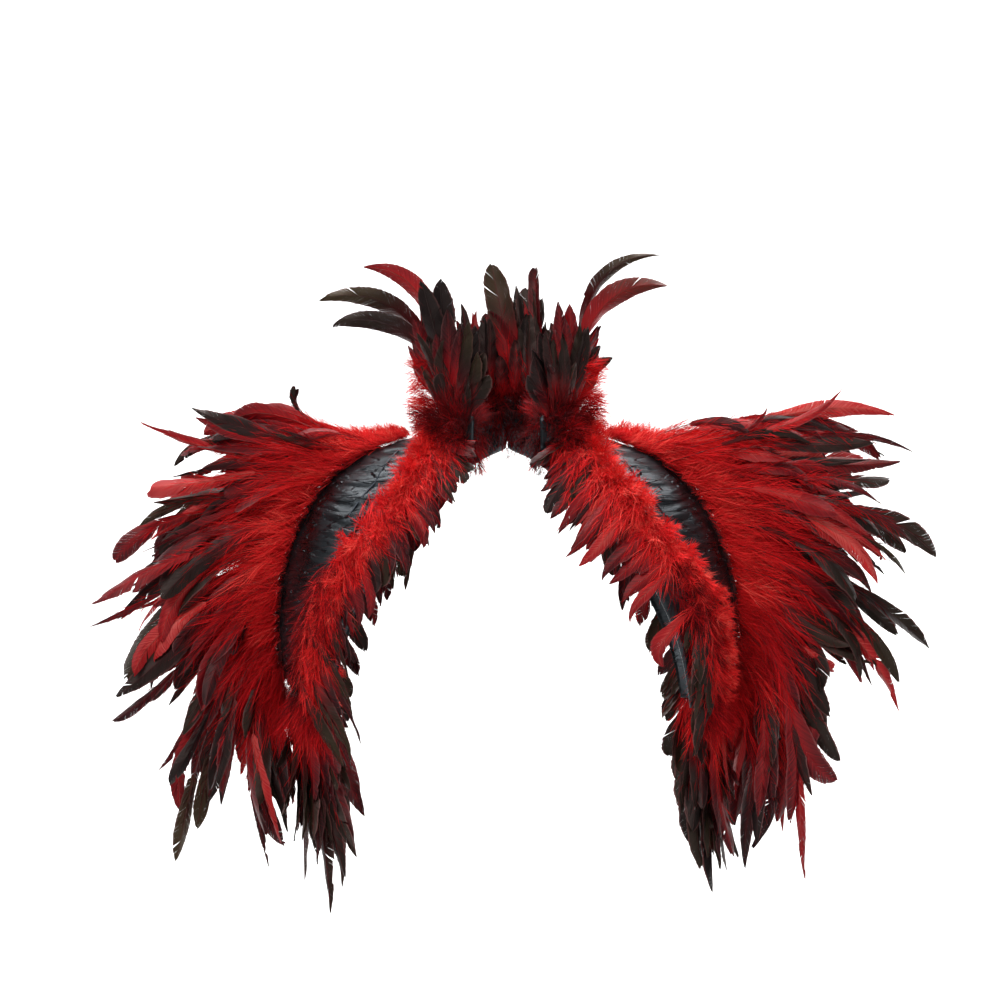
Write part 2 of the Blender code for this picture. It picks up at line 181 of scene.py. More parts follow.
# From the neck end of the strip, over the arm, to its lower end
WING_BLADES = {
    "left": (
        Blade(206, 50, 120, 11, 0.92, 0.9, 0.72, 0.2, 0.3),
        Blade(219, 9, 30, 9, 0.60, 0.0, 0.55),
        Blade(310, 32, 28, 20, 0.80, 0.0, 0.40, 0.1, 0.6),
        Blade(307, 22, 24, 15, 0.36, 0.2, 0.50, 0.0, 0.7),
        Blade(309, -4, 10, 13, 0.84, 0.6, 0.60, 0.5),
        Blade(360, 16, 26, 12, 0.24, 0.0, 0.50, 0.0, 0.8),
        Blade(350, -47, -4, 22, 0.12, 0.9, 0.62, 0.0, 0.8),
        Blade(349, -62, -8, 18, 0.66, 0.1, 0.42, 0.4),
        Blade(360, -86, -40, 13, 0.82, 0.3, 0.60, 0.7),
        Blade(386, -121, -58, 18, 0.42, 0.8, 0.55, 0.0, 0.8),
        Blade(370, -136, -26, 13, 0.95, 0.2, 0.55),
        Blade(407, -162, -32, 20, 0.38, 0.3, 0.48),
        Blade(416, -186, -16, 11, 0.52, 0.0, 0.62),
        Blade(374, -236, -68, 25, 0.80, 0.7, 0.34, 0.6, 0.3),
        Blade(326, -209, -60, 12, 0.54, 0.8, 0.66, 0.0, 0.9),
        Blade(384, -253, -34, 23, 0.80, 0.2, 0.36, 0.1, 0.5),
        Blade(389, -278, -28, 11, 0.62, 0.8, 0.62, 0.0, 0.9),
        Blade(318, -291, -64, 17, 0.84, 0.3, 0.52, 0.3, 1.0),
        Blade(345, -327, -42, 15, 0.50, 0.0, 0.52),
        Blade(331, -338, -52, 13, 1.00, 0.8, 0.60),
        Blade(325, -416, -78, 25, 0.72, 0.3, 0.66, 1.0),
        Blade(280, -352, -86, 18, 0.44, 0.2, 0.40, 0.0, 0.9),
        Blade(220, -396, -112, 20, 0.14, 0.0, 0.45, 0.0, 0.3),
        Blade(233, -422, -104, 11, 0.62, 0.0, 0.50),
    ),
    "right": (
        Blade(256, 33, 72, 10, 0.40, 0.0, 0.66, 0.0, 0.9),
        Blade(329, 52, 54, 13, 0.22, 0.0, 0.52, 0.0, 0.8),
        Blade(383, 22, -20, 22, 0.10, 0.0, 0.46, 0.0, 0.3),
        Blade(361, -3, 4, 17, 0.76, 0.4, 0.50, 0.2, 0.8),
        Blade(404, -17, -32, 12, 0.58, 0.0, 0.58),
        Blade(388, -21, 8, 20, 0.46, 0.1, 0.44, 0.1),
        Blade(377, -39, 2, 17, 0.80, 0.9, 0.62, 0.3, 0.6),
        Blade(367, -65, -44, 11, 0.50, 0.1, 0.55),
        Blade(402, -110, -56, 10, 0.62, 0.1, 0.62),
        Blade(424, -118, -56, 20, 0.80, 0.5, 0.50, 0.3, 0.6),
        Blade(393, -135, -62, 11, 0.88, 0.1, 0.68, 0.9),
        Blade(358, -153, -70, 17, 0.60, 0.1, 0.50, 0.1, 0.8),
        Blade(418, -208, -46, 16, 0.96, 0.6, 0.54, 0.2),
        Blade(383, -240, -72, 14, 0.95, 0.5, 0.60, 0.5),
        Blade(386, -269, -72, 20, 0.20, 0.0, 0.42, 0.0, 0.4),
        Blade(359, -220, -20, 20, 0.78, 0.1, 0.34, 0.4, 0.4),
        Blade(321, -226, -24, 15, 0.08, 0.9, 0.70, 0.0, 0.8),
        Blade(328, -318, -46, 16, 0.86, 0.6, 0.45, 0.2, 0.9),
        Blade(325, -336, -18, 22, 0.42, 0.6, 0.36, 0.0, 0.9),
        Blade(300, -352, -62, 15, 0.70, 0.2, 0.40, 0.1, 0.9),
        Blade(291, -433, -84, 12, 0.28, 0.2, 0.50),
        Blade(262, -372, -80, 15, 0.60, 0.1, 0.40, 0.0, 1.0),
        Blade(246, -398, -84, 15, 0.84, 0.3, 0.40, 0.0, 0.9),
        Blade(234, -424, -84, 15, 0.70, 0.2, 0.40, 0.0, 0.9),
    ),
}

# From the collar down to the end of the front edge
CHEST_TIPS = {
    "left": (
        Tip(33, -15, -78, 0.50, 16, 0.1, -0.6),
        Tip(38, -41, -88, 0.80, 20, 0.3, -0.4),
        Tip(52, -64, -98, 0.46, 16, 0.1),
        Tip(65, -87, -106, 0.62, 18, 0.2),
        Tip(80, -106, -110, 0.40, 18, 0.1, 0.4),
        Tip(96, -124, -112, 0.58, 18, 0.3, 0.6),
        Tip(120, -143, -112, 0.80, 20, 0.3, 0.8),
        Tip(142, -180, -106, 0.46, 16, 0.1, 0.6),
        Tip(150, -220, -100, 0.76, 16, 0.1, 0.4),
        Tip(155, -256, -96, 0.86, 18, 0.2, 0.2),
        Tip(157, -288, -92, 0.62, 16, 0.1, 0.1),
        Tip(158, -316, -88, 0.90, 18, 0.3, 0.0),
    ),
    "right": (
        Tip(22, -27, -80, 0.66, 18, 0.1, -0.3),
        Tip(32, -52, -88, 0.52, 16, 0.0, -0.6),
        Tip(38, -73, -98, 0.84, 20, 0.3),
        Tip(48, -92, -106, 0.42, 18, 0.0, -0.5),
        Tip(60, -108, -112, 0.60, 16, 0.1, -0.6),
        Tip(74, -122, -114, 0.36, 18, 0.1),
        Tip(90, -138, -114, 0.50, 18, 0.0, 0.3),
        Tip(110, -158, -114, 0.34, 20, 0.0, 0.7),
        Tip(149, -219, -112, 0.26, 24, 0.0, 1.5),
        Tip(178, -236, -104, 0.92, 18, 0.2, 0.3),
        Tip(181, -270, -98, 0.84, 18, 0.1, 0.2),
        Tip(182, -306, -92, 0.90, 20, 0.2, 0.1),
    ),
}
BACK_TIPS = (
    Tip(86, -88, 116, 0.70, 24, 0.3),
    Tip(98, -114, 122, 0.46, 24, 0.4),
    Tip(112, -140, 125, 0.78, 24, 0.5),
    Tip(126, -166, 124, 0.56, 24, 0.2),
    Tip(138, -192, 120, 0.40, 24, 0.3),
    Tip(148, -218, 114, 0.82, 24, 0.5),
    Tip(156, -242, 108, 0.60, 22, 0.3),
    Tip(162, -266, 101, 0.74, 22, 0.4),
    Tip(166, -290, 95, 0.86, 22, 0.4),
)

# From the body side outwards
HEM_TIPS = {
    "left": (
        Tip(147, -388, -84, 0.52, 18, 0.2),
        Tip(156, -425, -82, 0.78, 18, 0.2),
        Tip(170, -462, -80, 0.72, 24, 0.0),
        Tip(184, -414, -76, 0.92, 20, 0.3),
        Tip(196, -434, -72, 0.66, 18, 0.2),
        Tip(206, -393, -66, 0.90, 20, 0.4),
    ),
    "right": (
        Tip(179, -380, -84, 0.94, 22, 0.3),
        Tip(188, -415, -82, 0.90, 22, 0.4),
        Tip(199, -440, -80, 0.84, 26, 0.5),
        Tip(207, -409, -76, 0.58, 20, 0.2),
        Tip(214, -425, -72, 0.70, 20, 0.3),
        Tip(219, -389, -66, 0.48, 20, 0.2),
    ),
}

# How far the chest's down reaches from the front edge, as (down, across), read off both sides
DOWN_EDGE = {
    "left": (
        (0.0, 0.42), (0.13, 0.38), (0.19, 0.31), (0.23, 0.30), (0.345, 0.205), (0.44, 0.18),
        (0.49, 0.23), (0.53, 0.185), (0.585, 0.17), (0.635, 0.24), (0.665, 0.175),
        (0.74, 0.195), (0.77, 0.12), (0.805, 0.20), (0.89, 0.13), (0.97, 0.12),
    ),
    "right": (
        (0.0, 0.42), (0.14, 0.42), (0.19, 0.36), (0.245, 0.31), (0.36, 0.28), (0.44, 0.245),
        (0.495, 0.27), (0.52, 0.225), (0.57, 0.29), (0.60, 0.255), (0.67, 0.32),
        (0.71, 0.37), (0.745, 0.30), (0.80, 0.38), (0.97, 0.40),
    ),
}

# Where a front band's hem line shows, as (down, across)
HEM_LINE_SHOWN = ((0.17, 0.335), (0.23, 0.305), (0.345, 0.208), (0.455, 0.183))

# Shares of the chest strip with no shorter feathers, where its fringe parts
CHEST_GAP = {"left": (0.60, 0.63), "right": (0.66, 0.79)}

# How far the down keeps from the front edge, as (down, across); the collar's foot has none
DOWN_START = {
    "left": ((0.0, 0.40), (0.08, 0.26), (0.16, 0.13), (0.3, 0.09), (0.45, 0.06), (1.0, 0.04)),
    "right": (
        (0.0, 0.44), (0.08, 0.36), (0.14, 0.24), (0.24, 0.12),
        (0.5, 0.09), (0.7, 0.16), (1.0, 0.18),
    ),
}


class Plume(NamedTuple):
    """A collar feather: where it is sewn, in degrees from the front, right positive; then as Tip."""

    angle: float
    x: float
    y: float
    z: float
    dye: float
    width: float
    blunt: float
    bronze: float


COLLAR_PLUMES = (
    Plume(-97, -190, -5, 138, 0.90, 24, 0.2, 1.0),
    Plume(-88, -174, -20, 112, 0.95, 22, 0.5, 0.2),
    Plume(-76, -144, -30, 170, 0.30, 24, 0.2, 0.0),
    Plume(-102, -106, 20, 163, 0.95, 14, 0.2, 0.3),
    Plume(-70, -66, -35, 160, 1.00, 36, 0.8, 0.0),
    Plume(-60, -84, -45, 156, 1.00, 32, 0.7, 0.0),
    Plume(-54, -58, -52, 128, 0.62, 28, 0.4, 0.0),
    Plume(-46, -38, -62, 116, 0.95, 28, 0.5, 0.6),
    Plume(-36, -28, -66, 86, 0.92, 26, 0.4, 0.6),
    Plume(-80, -92, -30, 120, 0.42, 28, 0.3, 0.0),
    Plume(176, -16, 88, 186, 0.74, 30, 0.4, 0.9),
    Plume(170, -2, 86, 150, 0.82, 22, 0.7, 0.6),
    Plume(166, -21, 80, 134, 0.46, 32, 0.3, 0.1),
    Plume(-170, -34, 82, 120, 0.80, 22, 0.5, 0.5),
    Plume(162, 9, 84, 165, 0.90, 14, 0.3, 0.1),
    Plume(156, 21, 84, 160, 0.78, 26, 0.6, 0.3),
    Plume(152, 29, 84, 182, 0.52, 15, 0.8, 0.1),
    Plume(146, 35, 84, 150, 0.72, 16, 0.6, 0.2),
    Plume(60, 50, -45, 136, 0.44, 26, 0.3, 0.0),
    Plume(96, 156, 0, 185, 0.86, 17, 0.1, 0.9),
    Plume(86, 160, -20, 152, 0.44, 26, 0.2, 0.5),
    Plume(80, 80, -30, 104, 0.92, 24, 0.4, 0.2),
    Plume(70, 62, -40, 134, 0.34, 30, 0.3, 0.0),
    Plume(48, 38, -62, 106, 0.74, 26, 0.3, 0.1),
    Plume(36, 26, -66, 80, 0.80, 26, 0.3, 0.0),
    Plume(-52, -30, -56, 106, 1.00, 30, 0.5, 0.0),
    Plume(-44, -22, -62, 84, 1.00, 30, 0.4, 0.3),
    Plume(-38, -18, -66, 62, 0.98, 28, 0.4, 0.2),
    Plume(-50, -45, -56, 112, 0.58, 24, 0.1, 0.0),
    Plume(-64, -70, -45, 104, 0.50, 26, 0.2, 0.0),
    Plume(54, 32, -56, 104, 1.00, 28, 0.4, 0.0),
    Plume(46, 24, -62, 88, 0.96, 28, 0.3, 0.0),
    Plume(40, 20, -66, 62, 0.90, 26, 0.3, 0.0),
    Plume(58, 46, -55, 108, 0.40, 26, 0.2, 0.0),
    Plume(66, 58, -45, 118, 0.44, 26, 0.1, 0.0),
    Plume(52, 26, -70, 48, 0.56, 18, 0.0, 0.0),
    Plume(60, 40, -62, 74, 0.62, 20, 0.0, 0.0),
)


def linear(hex_colour):
    """An sRGB hex colour as linear RGBA."""
    parts = (int(hex_colour[i : i + 2], 16) / 255 for i in (1, 3, 5))
    return (*(p / 12.92 if p <= 0.04045 else ((p + 0.055) / 1.055) ** 2.4 for p in parts), 1.0)


def seeded(name):
    return np.random.default_rng(zlib.crc32(name.encode()))


def spaced(count, rng):
    """Shares from 0 to 1, one at a random place in each of count even steps."""
    return (np.arange(count) + rng.random(count)) / count


def unit(vectors):
    vectors = np.asarray(vectors, float)
    return vectors / np.linalg.norm(vectors, axis=-1, keepdims=True)


def smooth(low, high, value):
    """0 below low, 1 above high and an even S between them."""
    share = np.clip((value - low) / (high - low), 0, 1)
    return share * share * (3 - 2 * share)


def section_at(down):
    """The section's eight numbers at a share of the way from neck to hem, on a smooth curve."""
    rows = np.array(SECTIONS) * MM
    place = down * (len(rows) - 1)
    low = min(int(place), len(rows) - 2)
    t = place - low
    before, start, end, after = (
        rows[min(max(low + step, 0), len(rows) - 1)] for step in (-1, 0, 1, 2)
    )
    pull_in, pull_out = (end - before) / 2, (after - start) / 2
    bend = (2 * t**3 - 3 * t**2 + 1) * start + (t**3 - 2 * t**2 + t) * pull_in
    return bend + (3 * t**2 - 2 * t**3) * end + (t**3 - t**2) * pull_out


def cape_point(across, down, side=1):
    """A point of the cape's middle surface: across runs from front edge 0 to back edge 1."""
    row = Section(*section_at(down))
    if across <= 0.5:
        share, edge = across / 0.5, (row.front_x, row.front_y, row.front_z)
    else:
        share, edge = (1 - across) / 0.5, (row.back_x, row.back_y, row.back_z)
    turn = share * math.pi / 2
    x = edge[0] + (row.ridge_x - edge[0]) * math.sin(turn)
    y = edge[1] * math.cos(turn)
    z = edge[2] + (row.ridge_z - edge[2]) * math.sin(turn)
    return np.array((side * max(x, 0.15 * MM), y, z))


def cape_ways(across, down, side=1):
    """Unit vectors at a point of the cape: towards the back edge, towards the hem, and outwards."""
    step = 0.004
    a, b = max(across - step, 0), min(across + step, 1)
    back = unit(cape_point(b, down) - cape_point(a, down))
    a, b = max(down - step, 0), min(down + step, 1)
    hem = unit(cape_point(across, b) - cape_point(across, a))
    out = unit(np.cross(hem, back))
    mirror = np.array((side, 1, 1))
    return back * mirror, hem * mirror, out * mirror


def stand_point(turn, height):
    """A point of the collar stand: turn runs from -1 at the left front, by 0 at the nape, to 1."""
    side = math.copysign(1, turn)
    point = cape_point(1 - abs(turn), 0, side)
    if turn == 0:
        point[0] = 0
    lean = unit(point * (1, 1, 0)) * STAND_LEAN * height / STAND_HEIGHT
    return point - lean + UP * (STAND_LIFT + height)


def stand_turn(angle):
    """The stand's turn at an angle round the neck, found between the two ends of its half."""
    turns = np.linspace(0.001, 1, 60)
    points = np.array([stand_point(turn, 0) for turn in turns])
    angles = np.degrees(np.arctan2(points[:, 0], -points[:, 1]))
    return math.copysign(np.interp(abs(angle), angles[::-1], turns[::-1]), angle)


def pressed(points):
    """The points, with those that stand out furthest to the front and back pressed closer."""
    start, room = DEPTH_LIMIT[0], DEPTH_LIMIT[1] - DEPTH_LIMIT[0]
    depth = np.abs(points[:, 1])
    over = np.maximum(depth - start, 0)
    near = np.minimum(depth, start) + room * np.tanh(over / room)
    return np.stack((points[:, 0], np.sign(points[:, 1]) * near, points[:, 2]), -1)


class Pile:
    """Many small shapes that become one mesh, with values at each point for the materials."""

    def __init__(self, *value_names):
        self.points = []
        self.faces = []
        self.values = {name: [] for name in value_names}
        self.count = 0

    def add(self, points, faces, material=0, **values):
        points = pressed(np.asarray(points, float).reshape(-1, 3))
        self.faces.append((np.asarray(faces, np.int64) + self.count, material))
        self.points.append(points)
        for name, kept in self.values.items():
            value = np.asarray(values.get(name, 0.0), float).reshape(-1)
            kept.append(np.broadcast_to(value, (len(points),)))
        self.count += len(points)

    def build(self, name, materials):
        mesh = bpy.data.meshes.new(name)
        points = np.concatenate(self.points)
        mesh.vertices.add(len(points))
        mesh.vertices.foreach_set("co", points.ravel())
        corners = np.concatenate([faces.ravel() for faces, _ in self.faces])
        mesh.loops.add(len(corners))
        mesh.loops.foreach_set("vertex_index", corners)
        sizes = np.concatenate([np.full(len(faces), faces.shape[1]) for faces, _ in self.faces])
        mesh.polygons.add(len(sizes))
        mesh.polygons.foreach_set("loop_start", np.cumsum(sizes) - sizes)
        slots = np.concatenate([np.full(len(faces), slot) for faces, slot in self.faces])
        mesh.polygons.foreach_set("material_index", slots)
        for key, kept in self.values.items():
            layer = mesh.attributes.new(key, "FLOAT", "POINT")
            layer.data.foreach_set("value", np.concatenate(kept))
        mesh.update(calc_edges=True)
        mesh.shade_smooth()
        for material in materials:
            mesh.materials.append(material)
        return show(name, mesh)


def show(name, mesh):
    """Puts a mesh in the scene as a piece of the cape."""
    piece = bpy.data.objects.new(name, mesh)
    bpy.context.scene.collection.objects.link(piece)
    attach(piece, "root")
    return piece


def grid_faces(rows, columns):
    """Quads of a grid of points, row by row."""
    start = (np.arange(rows - 1)[:, None] * columns + np.arange(columns - 1)).reshape(-1, 1)
    return start + np.array((0, 1, columns + 1, columns))


def tube_faces(rings, around):
    """Quads of a tube of rings, each with the same number of points."""
    ring = np.arange(around)
    quad = np.stack((ring, (ring + 1) % around, (ring + 1) % around + around, ring + around), -1)
    return (np.arange(rings - 1)[:, None, None] * around + quad).reshape(-1, 4)


class Feather(NamedTuple):
    root: np.ndarray
    way: np.ndarray  # how it leaves its strip
    tip: np.ndarray
    face: np.ndarray  # the way its flat side looks
    width: float
    dye: float
    blunt: float = 0.3
    upright: float = 0.34  # the share of its length that it keeps to its first way
    droop: float = 0.3  # how much its end bends down
    hook: float = 0.0  # how much its end bends sideways
    lean: float = 0.0  # how much its end bends to the right
    twist: float = 0.0
    bronze: float = 0.0
    rim: float = 0.2
    web: float = 0.42  # where the loose barbs end and the webbed vane starts
    facing: np.ndarray | None = None  # where its flat side turns to, when not its first way
    aim: np.ndarray | None = None  # the way it points at its end, when not by droop and hook
    fluff: float = 0.66  # how light the down along its shaft is


def feather_frames(feather, shares):
    """Points along a shaft, and at each the ways along, across and off the flat side."""
    shares = np.asarray(shares, float)[:, None]
    length = np.linalg.norm(feather.tip - feather.root)
    first = feather.root + feather.way * length * feather.upright
    ahead = unit(feather.tip - first)
    sideways = unit(np.cross(ahead, feather.face))
    ending = ahead - UP * feather.droop + sideways * feather.hook
    ending = unit(ending + np.array((feather.lean, 0, 0)))
    if feather.aim is not None:
        ending = feather.aim
    second = feather.tip - ending * length * 0.34
    knots = (feather.root, first, second, feather.tip)
    rest = 1 - shares
    bezier = (rest**3, 3 * rest**2 * shares, 3 * rest * shares**2, shares**3)
    points = sum(weight * knot for weight, knot in zip(bezier, knots))
    slopes = (3 * rest**2, 6 * rest * shares, 3 * shares**2)
    steps = (first - feather.root, second - first, feather.tip - second)
    along = unit(sum(weight * step for weight, step in zip(slopes, steps)))
    target = feather.face if feather.facing is None else feather.facing
    flat = unit(feather.face * (1 - shares) + target * shares)
    wide = unit(np.cross(along, flat))
    off = np.cross(wide, along)
    turn = feather.twist * shares
    turned_wide = wide * np.cos(turn) + off * np.sin(turn)
    turned_off = off * np.cos(turn) - wide * np.sin(turn)
    return points, along, turned_wide, turned_off


def half_width(feather, shares):
    """Half the vane's width: narrow low down, full in the middle, closing to its end."""
    open_out = 0.40 + 0.60 * smooth(feather.web, feather.web + 0.26, shares)
    start = 0.46 + 0.34 * feather.blunt
    power = 1.5 + 2.5 * feather.blunt
    close = 1 - np.clip((shares - start) / (1.0 - start), 0, 1) ** power
    return feather.width / 2 * open_out * close


def clump_offsets(groups, rng):
    """A drift and a lift for each group of barbs, the same all through a clump."""
    clump = np.cumsum(rng.random(groups) < SPLIT_CHANCE)
    drift = rng.normal(0, 0.009, groups + 1)[clump]
    lift = rng.normal(0, 0.9 * MM, groups + 1)[clump]
    return drift[:, None, None], lift[:, None, None]


def add_vane(pile, feather, rng):
    """Both halves of a vane, as groups of barbs that cling together in clumps, part and fray."""
    length = np.linalg.norm(feather.tip - feather.root)
    groups = int(np.clip(length * (1 - feather.web) / BARB_GROUP, 8, 34))
    starts = np.linspace(feather.web, 0.985, groups + 1)
    edges = np.stack((starts[:-1], starts[1:]), -1)[:, :, None]
    reach = np.array((0.0, 0.5, 1.0))
    for side in (-1, 1):
        drift, lift = clump_offsets(groups, rng)
        half = half_width(feather, edges) * (1 - rng.uniform(0, 0.09, (groups, 2, 1)))
        shares = edges + half * BARB_LEAN / length * reach + drift * reach**1.5
        lateral = side * half * reach
        ripple = 0.5 * MM * np.sin(shares * 40 + feather.dye * 9)
        cup = -0.42 * half * reach
        points, _, wide, off = feather_frames(feather, shares.ravel())
        points = points + wide * lateral.reshape(-1, 1)
        points = points + off * ((lift + ripple + cup) * reach).reshape(-1, 1)
        one = np.array(((0, 3, 4, 1), (1, 4, 5, 2)))
        faces = (np.arange(groups)[:, None, None] * 6 + one[:, ::-side]).reshape(-1, 4)
        # Far enough apart that each feather, and each half, has its own streaks
        own_streaks = feather.dye * 500 + side * 40
        pile.add(
            points,
            faces,
            along=shares.ravel(),
            across=np.broadcast_to(reach, shares.shape).ravel(),
            barb=np.broadcast_to(edges, shares.shape).ravel() * length / MM + own_streaks,
            dye=feather.dye,
            bronze=feather.bronze,
            rim=feather.rim,
        )


def add_shaft(pile, feather):
    """The shaft, three-sided, thinning to its end."""
    shares = np.linspace(0, 0.96, 8)
    points, _, wide, off = feather_frames(feather, shares)
    radius = SHAFT_RADIUS * (1 - 0.7 * shares)[:, None, None]
    angles = np.radians((90, 210, 330))[None, :, None]
    ring = wide[:, None] * np.cos(angles) + off[:, None] * np.sin(angles)
    pile.add(
        points[:, None] + ring * radius,
        tube_faces(8, 3),
        along=np.repeat(shares, 3),
        dye=feather.dye,
        shaft=1.0,
    )


class Barbs(NamedTuple):
    """Loose barbs of down, one row each: where they start, and how they run."""

    root: np.ndarray
    way: np.ndarray
    out: np.ndarray
    length: np.ndarray
    bend: np.ndarray
    tone: np.ndarray


def loose_barbs(feather, rng):
    """Downy barbs that stream forward from the shaft, most of them from its lower part."""
    length = np.linalg.norm(feather.tip - feather.root)
    count = int((feather.web + 0.2) * length * LOOSE_BARBS) + 10
    low = rng.uniform(0.02, feather.web + 0.17, count)
    shares = np.where(rng.random(count) < 0.82, low, rng.uniform(feather.web, 0.86, count))
    points, along, wide, off = feather_frames(feather, shares)
    side = rng.choice((-1.0, 1.0), count)[:, None]
    open_angle = np.radians(rng.uniform(12, 44, count))[:, None]
    tilt = rng.normal(0, 0.5, count)[:, None]
    sideways = wide * side * np.cos(tilt) + off * np.sin(tilt)
    way = along * np.cos(open_angle) + sideways * np.sin(open_angle)
    size = rng.uniform(16, 38, count) * MM * (1 - 0.4 * shares)
    bend = -UP * 0.10 - wide * side * 0.14 + rng.normal(0, 0.08, (count, 3))
    darker = np.maximum(shares - 0.3, 0) * (0.35 + feather.dye) + 0.12 * feather.dye
    tone = feather.fluff - darker + rng.normal(0, 0.07) + rng.normal(0, 0.07, count)
    return Barbs(points, way, unit(off + rng.normal(0, 0.4, (count, 3))), size, bend, tone)


def tuft_barbs(places, lengths, per_tuft, rng, tone, opening=(15, 62)):
    """Tufts of down: barbs leave each tuft's axis on all sides and lean forward.

    A place is a tuft's root, its axis and the way outwards. opening is the least and the greatest
    angle between a barb and the axis, in degrees.
    """
    roots, axes, outs = np.array(places).swapaxes(0, 1)
    count = len(roots)
    shape = (count, per_tuft, 1)
    axes, outs = unit(axes)[:, None], unit(outs)[:, None]
    shares = rng.uniform(0, 0.8, shape)
    wide = unit(np.cross(axes, outs))
    off = np.cross(wide, axes)
    around = rng.normal(0, 1.0, shape) + rng.choice((0.0, math.pi), shape)
    open_angle = np.radians(rng.uniform(*opening, shape))
    raised = np.abs(np.sin(around)) * rng.choice((1.0, 1.0, -0.5), shape)
    sideways = wide * np.cos(around) + off * raised
    way = unit(axes * np.cos(open_angle) + sideways * np.sin(open_angle))
    size = lengths[:, None, None]
    sag = -UP * 0.10 * shares**2
    root = roots[:, None] + axes * size * shares + (off * 0.06 + sag) * size
    length = size * rng.uniform(0.35, 0.75, shape) * (1 - 0.3 * shares)
    bend = axes * 0.25 - UP * 0.10 + rng.normal(0, 0.16, (count, per_tuft, 3))
    flat = unit(off + rng.normal(0, 0.32, (count, per_tuft, 3)))
    tones = np.reshape(tone, (-1, 1, 1)) + rng.normal(0, 0.14, (count, 1, 1))
    # Barbs that leave a tuft low down are painted darker: painted shade deep inside the down
    tones = tones + rng.normal(0, 0.05, shape) - 0.12 * (1 - shares)
    return Barbs(
        root.reshape(-1, 3),
        way.reshape(-1, 3),
        flat.reshape(-1, 3),
        length.ravel(),
        bend.reshape(-1, 3),
        tones.ravel(),
    )


def add_barbs(pile, barbs, rng):
    """Draws each loose barb as a thin bent ribbon, pointed at both ends."""
    count = len(barbs.root)
    stations = np.array((0.0, 0.45, 1.0))[None, :, None]
    size = barbs.length[:, None, None]
    bend = barbs.bend[:, None]
    line = barbs.root[:, None] + size * (barbs.way[:, None] * stations + bend * stations**2)
    slope = unit(barbs.way + 0.9 * barbs.bend)
    wide = unit(np.cross(slope, barbs.out)) * DOWN_WIDTH * rng.uniform(0.35, 0.65, (count, 1))
    points = np.stack((line[:, 0], line[:, 1] + wide, line[:, 1] - wide, line[:, 2]), 1)
    first = np.arange(count)[:, None] * 4
    faces = (first + np.array(((0, 2, 1), (1, 2, 3)))[:, None]).reshape(-1, 3)
    along = np.tile((0, 0.45, 0.45, 1.0), count)
    pile.add(points, faces, along=along, tone=np.repeat(barbs.tone, 4))


class Seat(NamedTuple):
    """A place on a strip: the point, the way its feathers leave, and their flat side."""

    point: np.ndarray
    way: np.ndarray
    face: np.ndarray


def wing_seat(row, down, side, shift=0.0):
    """A place on a wing strip, or shift beside it. Its feathers fan outwards, the lower ones down."""
    line = WING_ROWS[row].line + shift
    _, hem, out = cape_ways(line, down, side)
    sideways = np.array((side, 0, 0)) * np.interp(down, (0.25, 0.6, 1), (2.6, 0.9, 0.5))
    way = unit(out + sideways + hem * 1.2 * down**3)
    face = unit(np.cross(hem, way))
    wanted = 1 if row == "back" else -1
    face = face if face[1] * wanted > 0 else -face
    return Seat(cape_point(line, down, side) + out * STRIP_LIFT, way, face)


def edge_seat(line, down, side, front, hang=None):
    """A place beside the front or the back edge.

    Its feathers point over that edge, and towards the hem in the lower half. hang sets another
    share between the two ways.
    """
    across = line if front else 1 - line
    back, hem, out = cape_ways(across, down, side)
    over = -back if front else back
    if hang is None:
        hang = np.interp(down, (0.0, 0.2, 0.45, 0.64), (0.6, 0.35, 0.3, 0.92))
    way = unit(over * (1 - hang) + hem * hang)
    return Seat(cape_point(across, down, side) + out * STRIP_LIFT, way, out)


def hem_seat(across, side, front):
    """A place above the hem, from which feathers hang."""
    across = across if front else 1 - across
    _, hem, out = cape_ways(across, HEM_LINE, side)
    return Seat(cape_point(across, HEM_LINE, side) + out * STRIP_LIFT, hem, out)


def collar_seat(angle, height, inside=False):
    """A place on the collar's outer or inner strip, from which plumes stand up."""
    turn = stand_turn(angle)
    point = stand_point(turn, height)
    out = unit(point * (1, 1, 0))
    off = -out if inside else out
    return Seat(point + off * STRIP_LIFT, UP, off)


def tip_at(tips, share, span=None):
    """A row between the table's rows, at a share of the strip, or at a place of its span."""
    table = np.array(tips)
    if span is not None:
        share = np.interp(share, span, (0, 1))
    place = share * len(table) - 0.5
    return [np.interp(place, np.arange(len(table)), column) for column in table.T]


def strip_places(tips, count, rng):
    """Shares of a strip, each with whether a shorter feather fills it: first the table's own."""
    own = [((i + 0.5) / len(tips), False) for i in range(len(tips))]
    return own + [(share, True) for share in spaced(count, rng)]


def tip_point(tip, side):
    return np.array((side * tip.x, tip.y, tip.z)) * MM


def wing_keys(row, side_name, rng):
    """The long feathers of one wing row: in front those of the table, behind shorter ones."""
    side, blades = SIDES[side_name], WING_BLADES[side_name]
    feathers = []
    for i, blade in enumerate(blades):
        share = (i + 0.5) / len(blades)
        if row == "back" and i < 2:
            continue
        seat = wing_seat(row, np.interp(share, (0, 1), WING_SPAN), side)
        depth = WING_ROWS[row].depth + rng.uniform(-10, 10) * MM
        end = tip_point(blade, side) + np.array((0, depth, 0))
        if row == "back":
            end = seat.point + (end - seat.point) * rng.uniform(0.78, 0.94)
        turn = math.radians(blade.aim)
        aim = unit((side * math.cos(turn), rng.normal(0, 0.15), math.sin(turn)))
        feathers.append(
            Feather(
                seat.point,
                seat.way,
                end,
                seat.face,
                blade.width * 1.2 * MM,
                blade.dye,
                blade.blunt,
                web=blade.web,
                fluff=np.interp(share, (0.5, 0.9), (0.6, 0.35)),
                aim=aim,
                twist=rng.normal(0, 0.5),
                bronze=blade.bronze,
                rim=blade.rim,
            )
        )
    return feathers


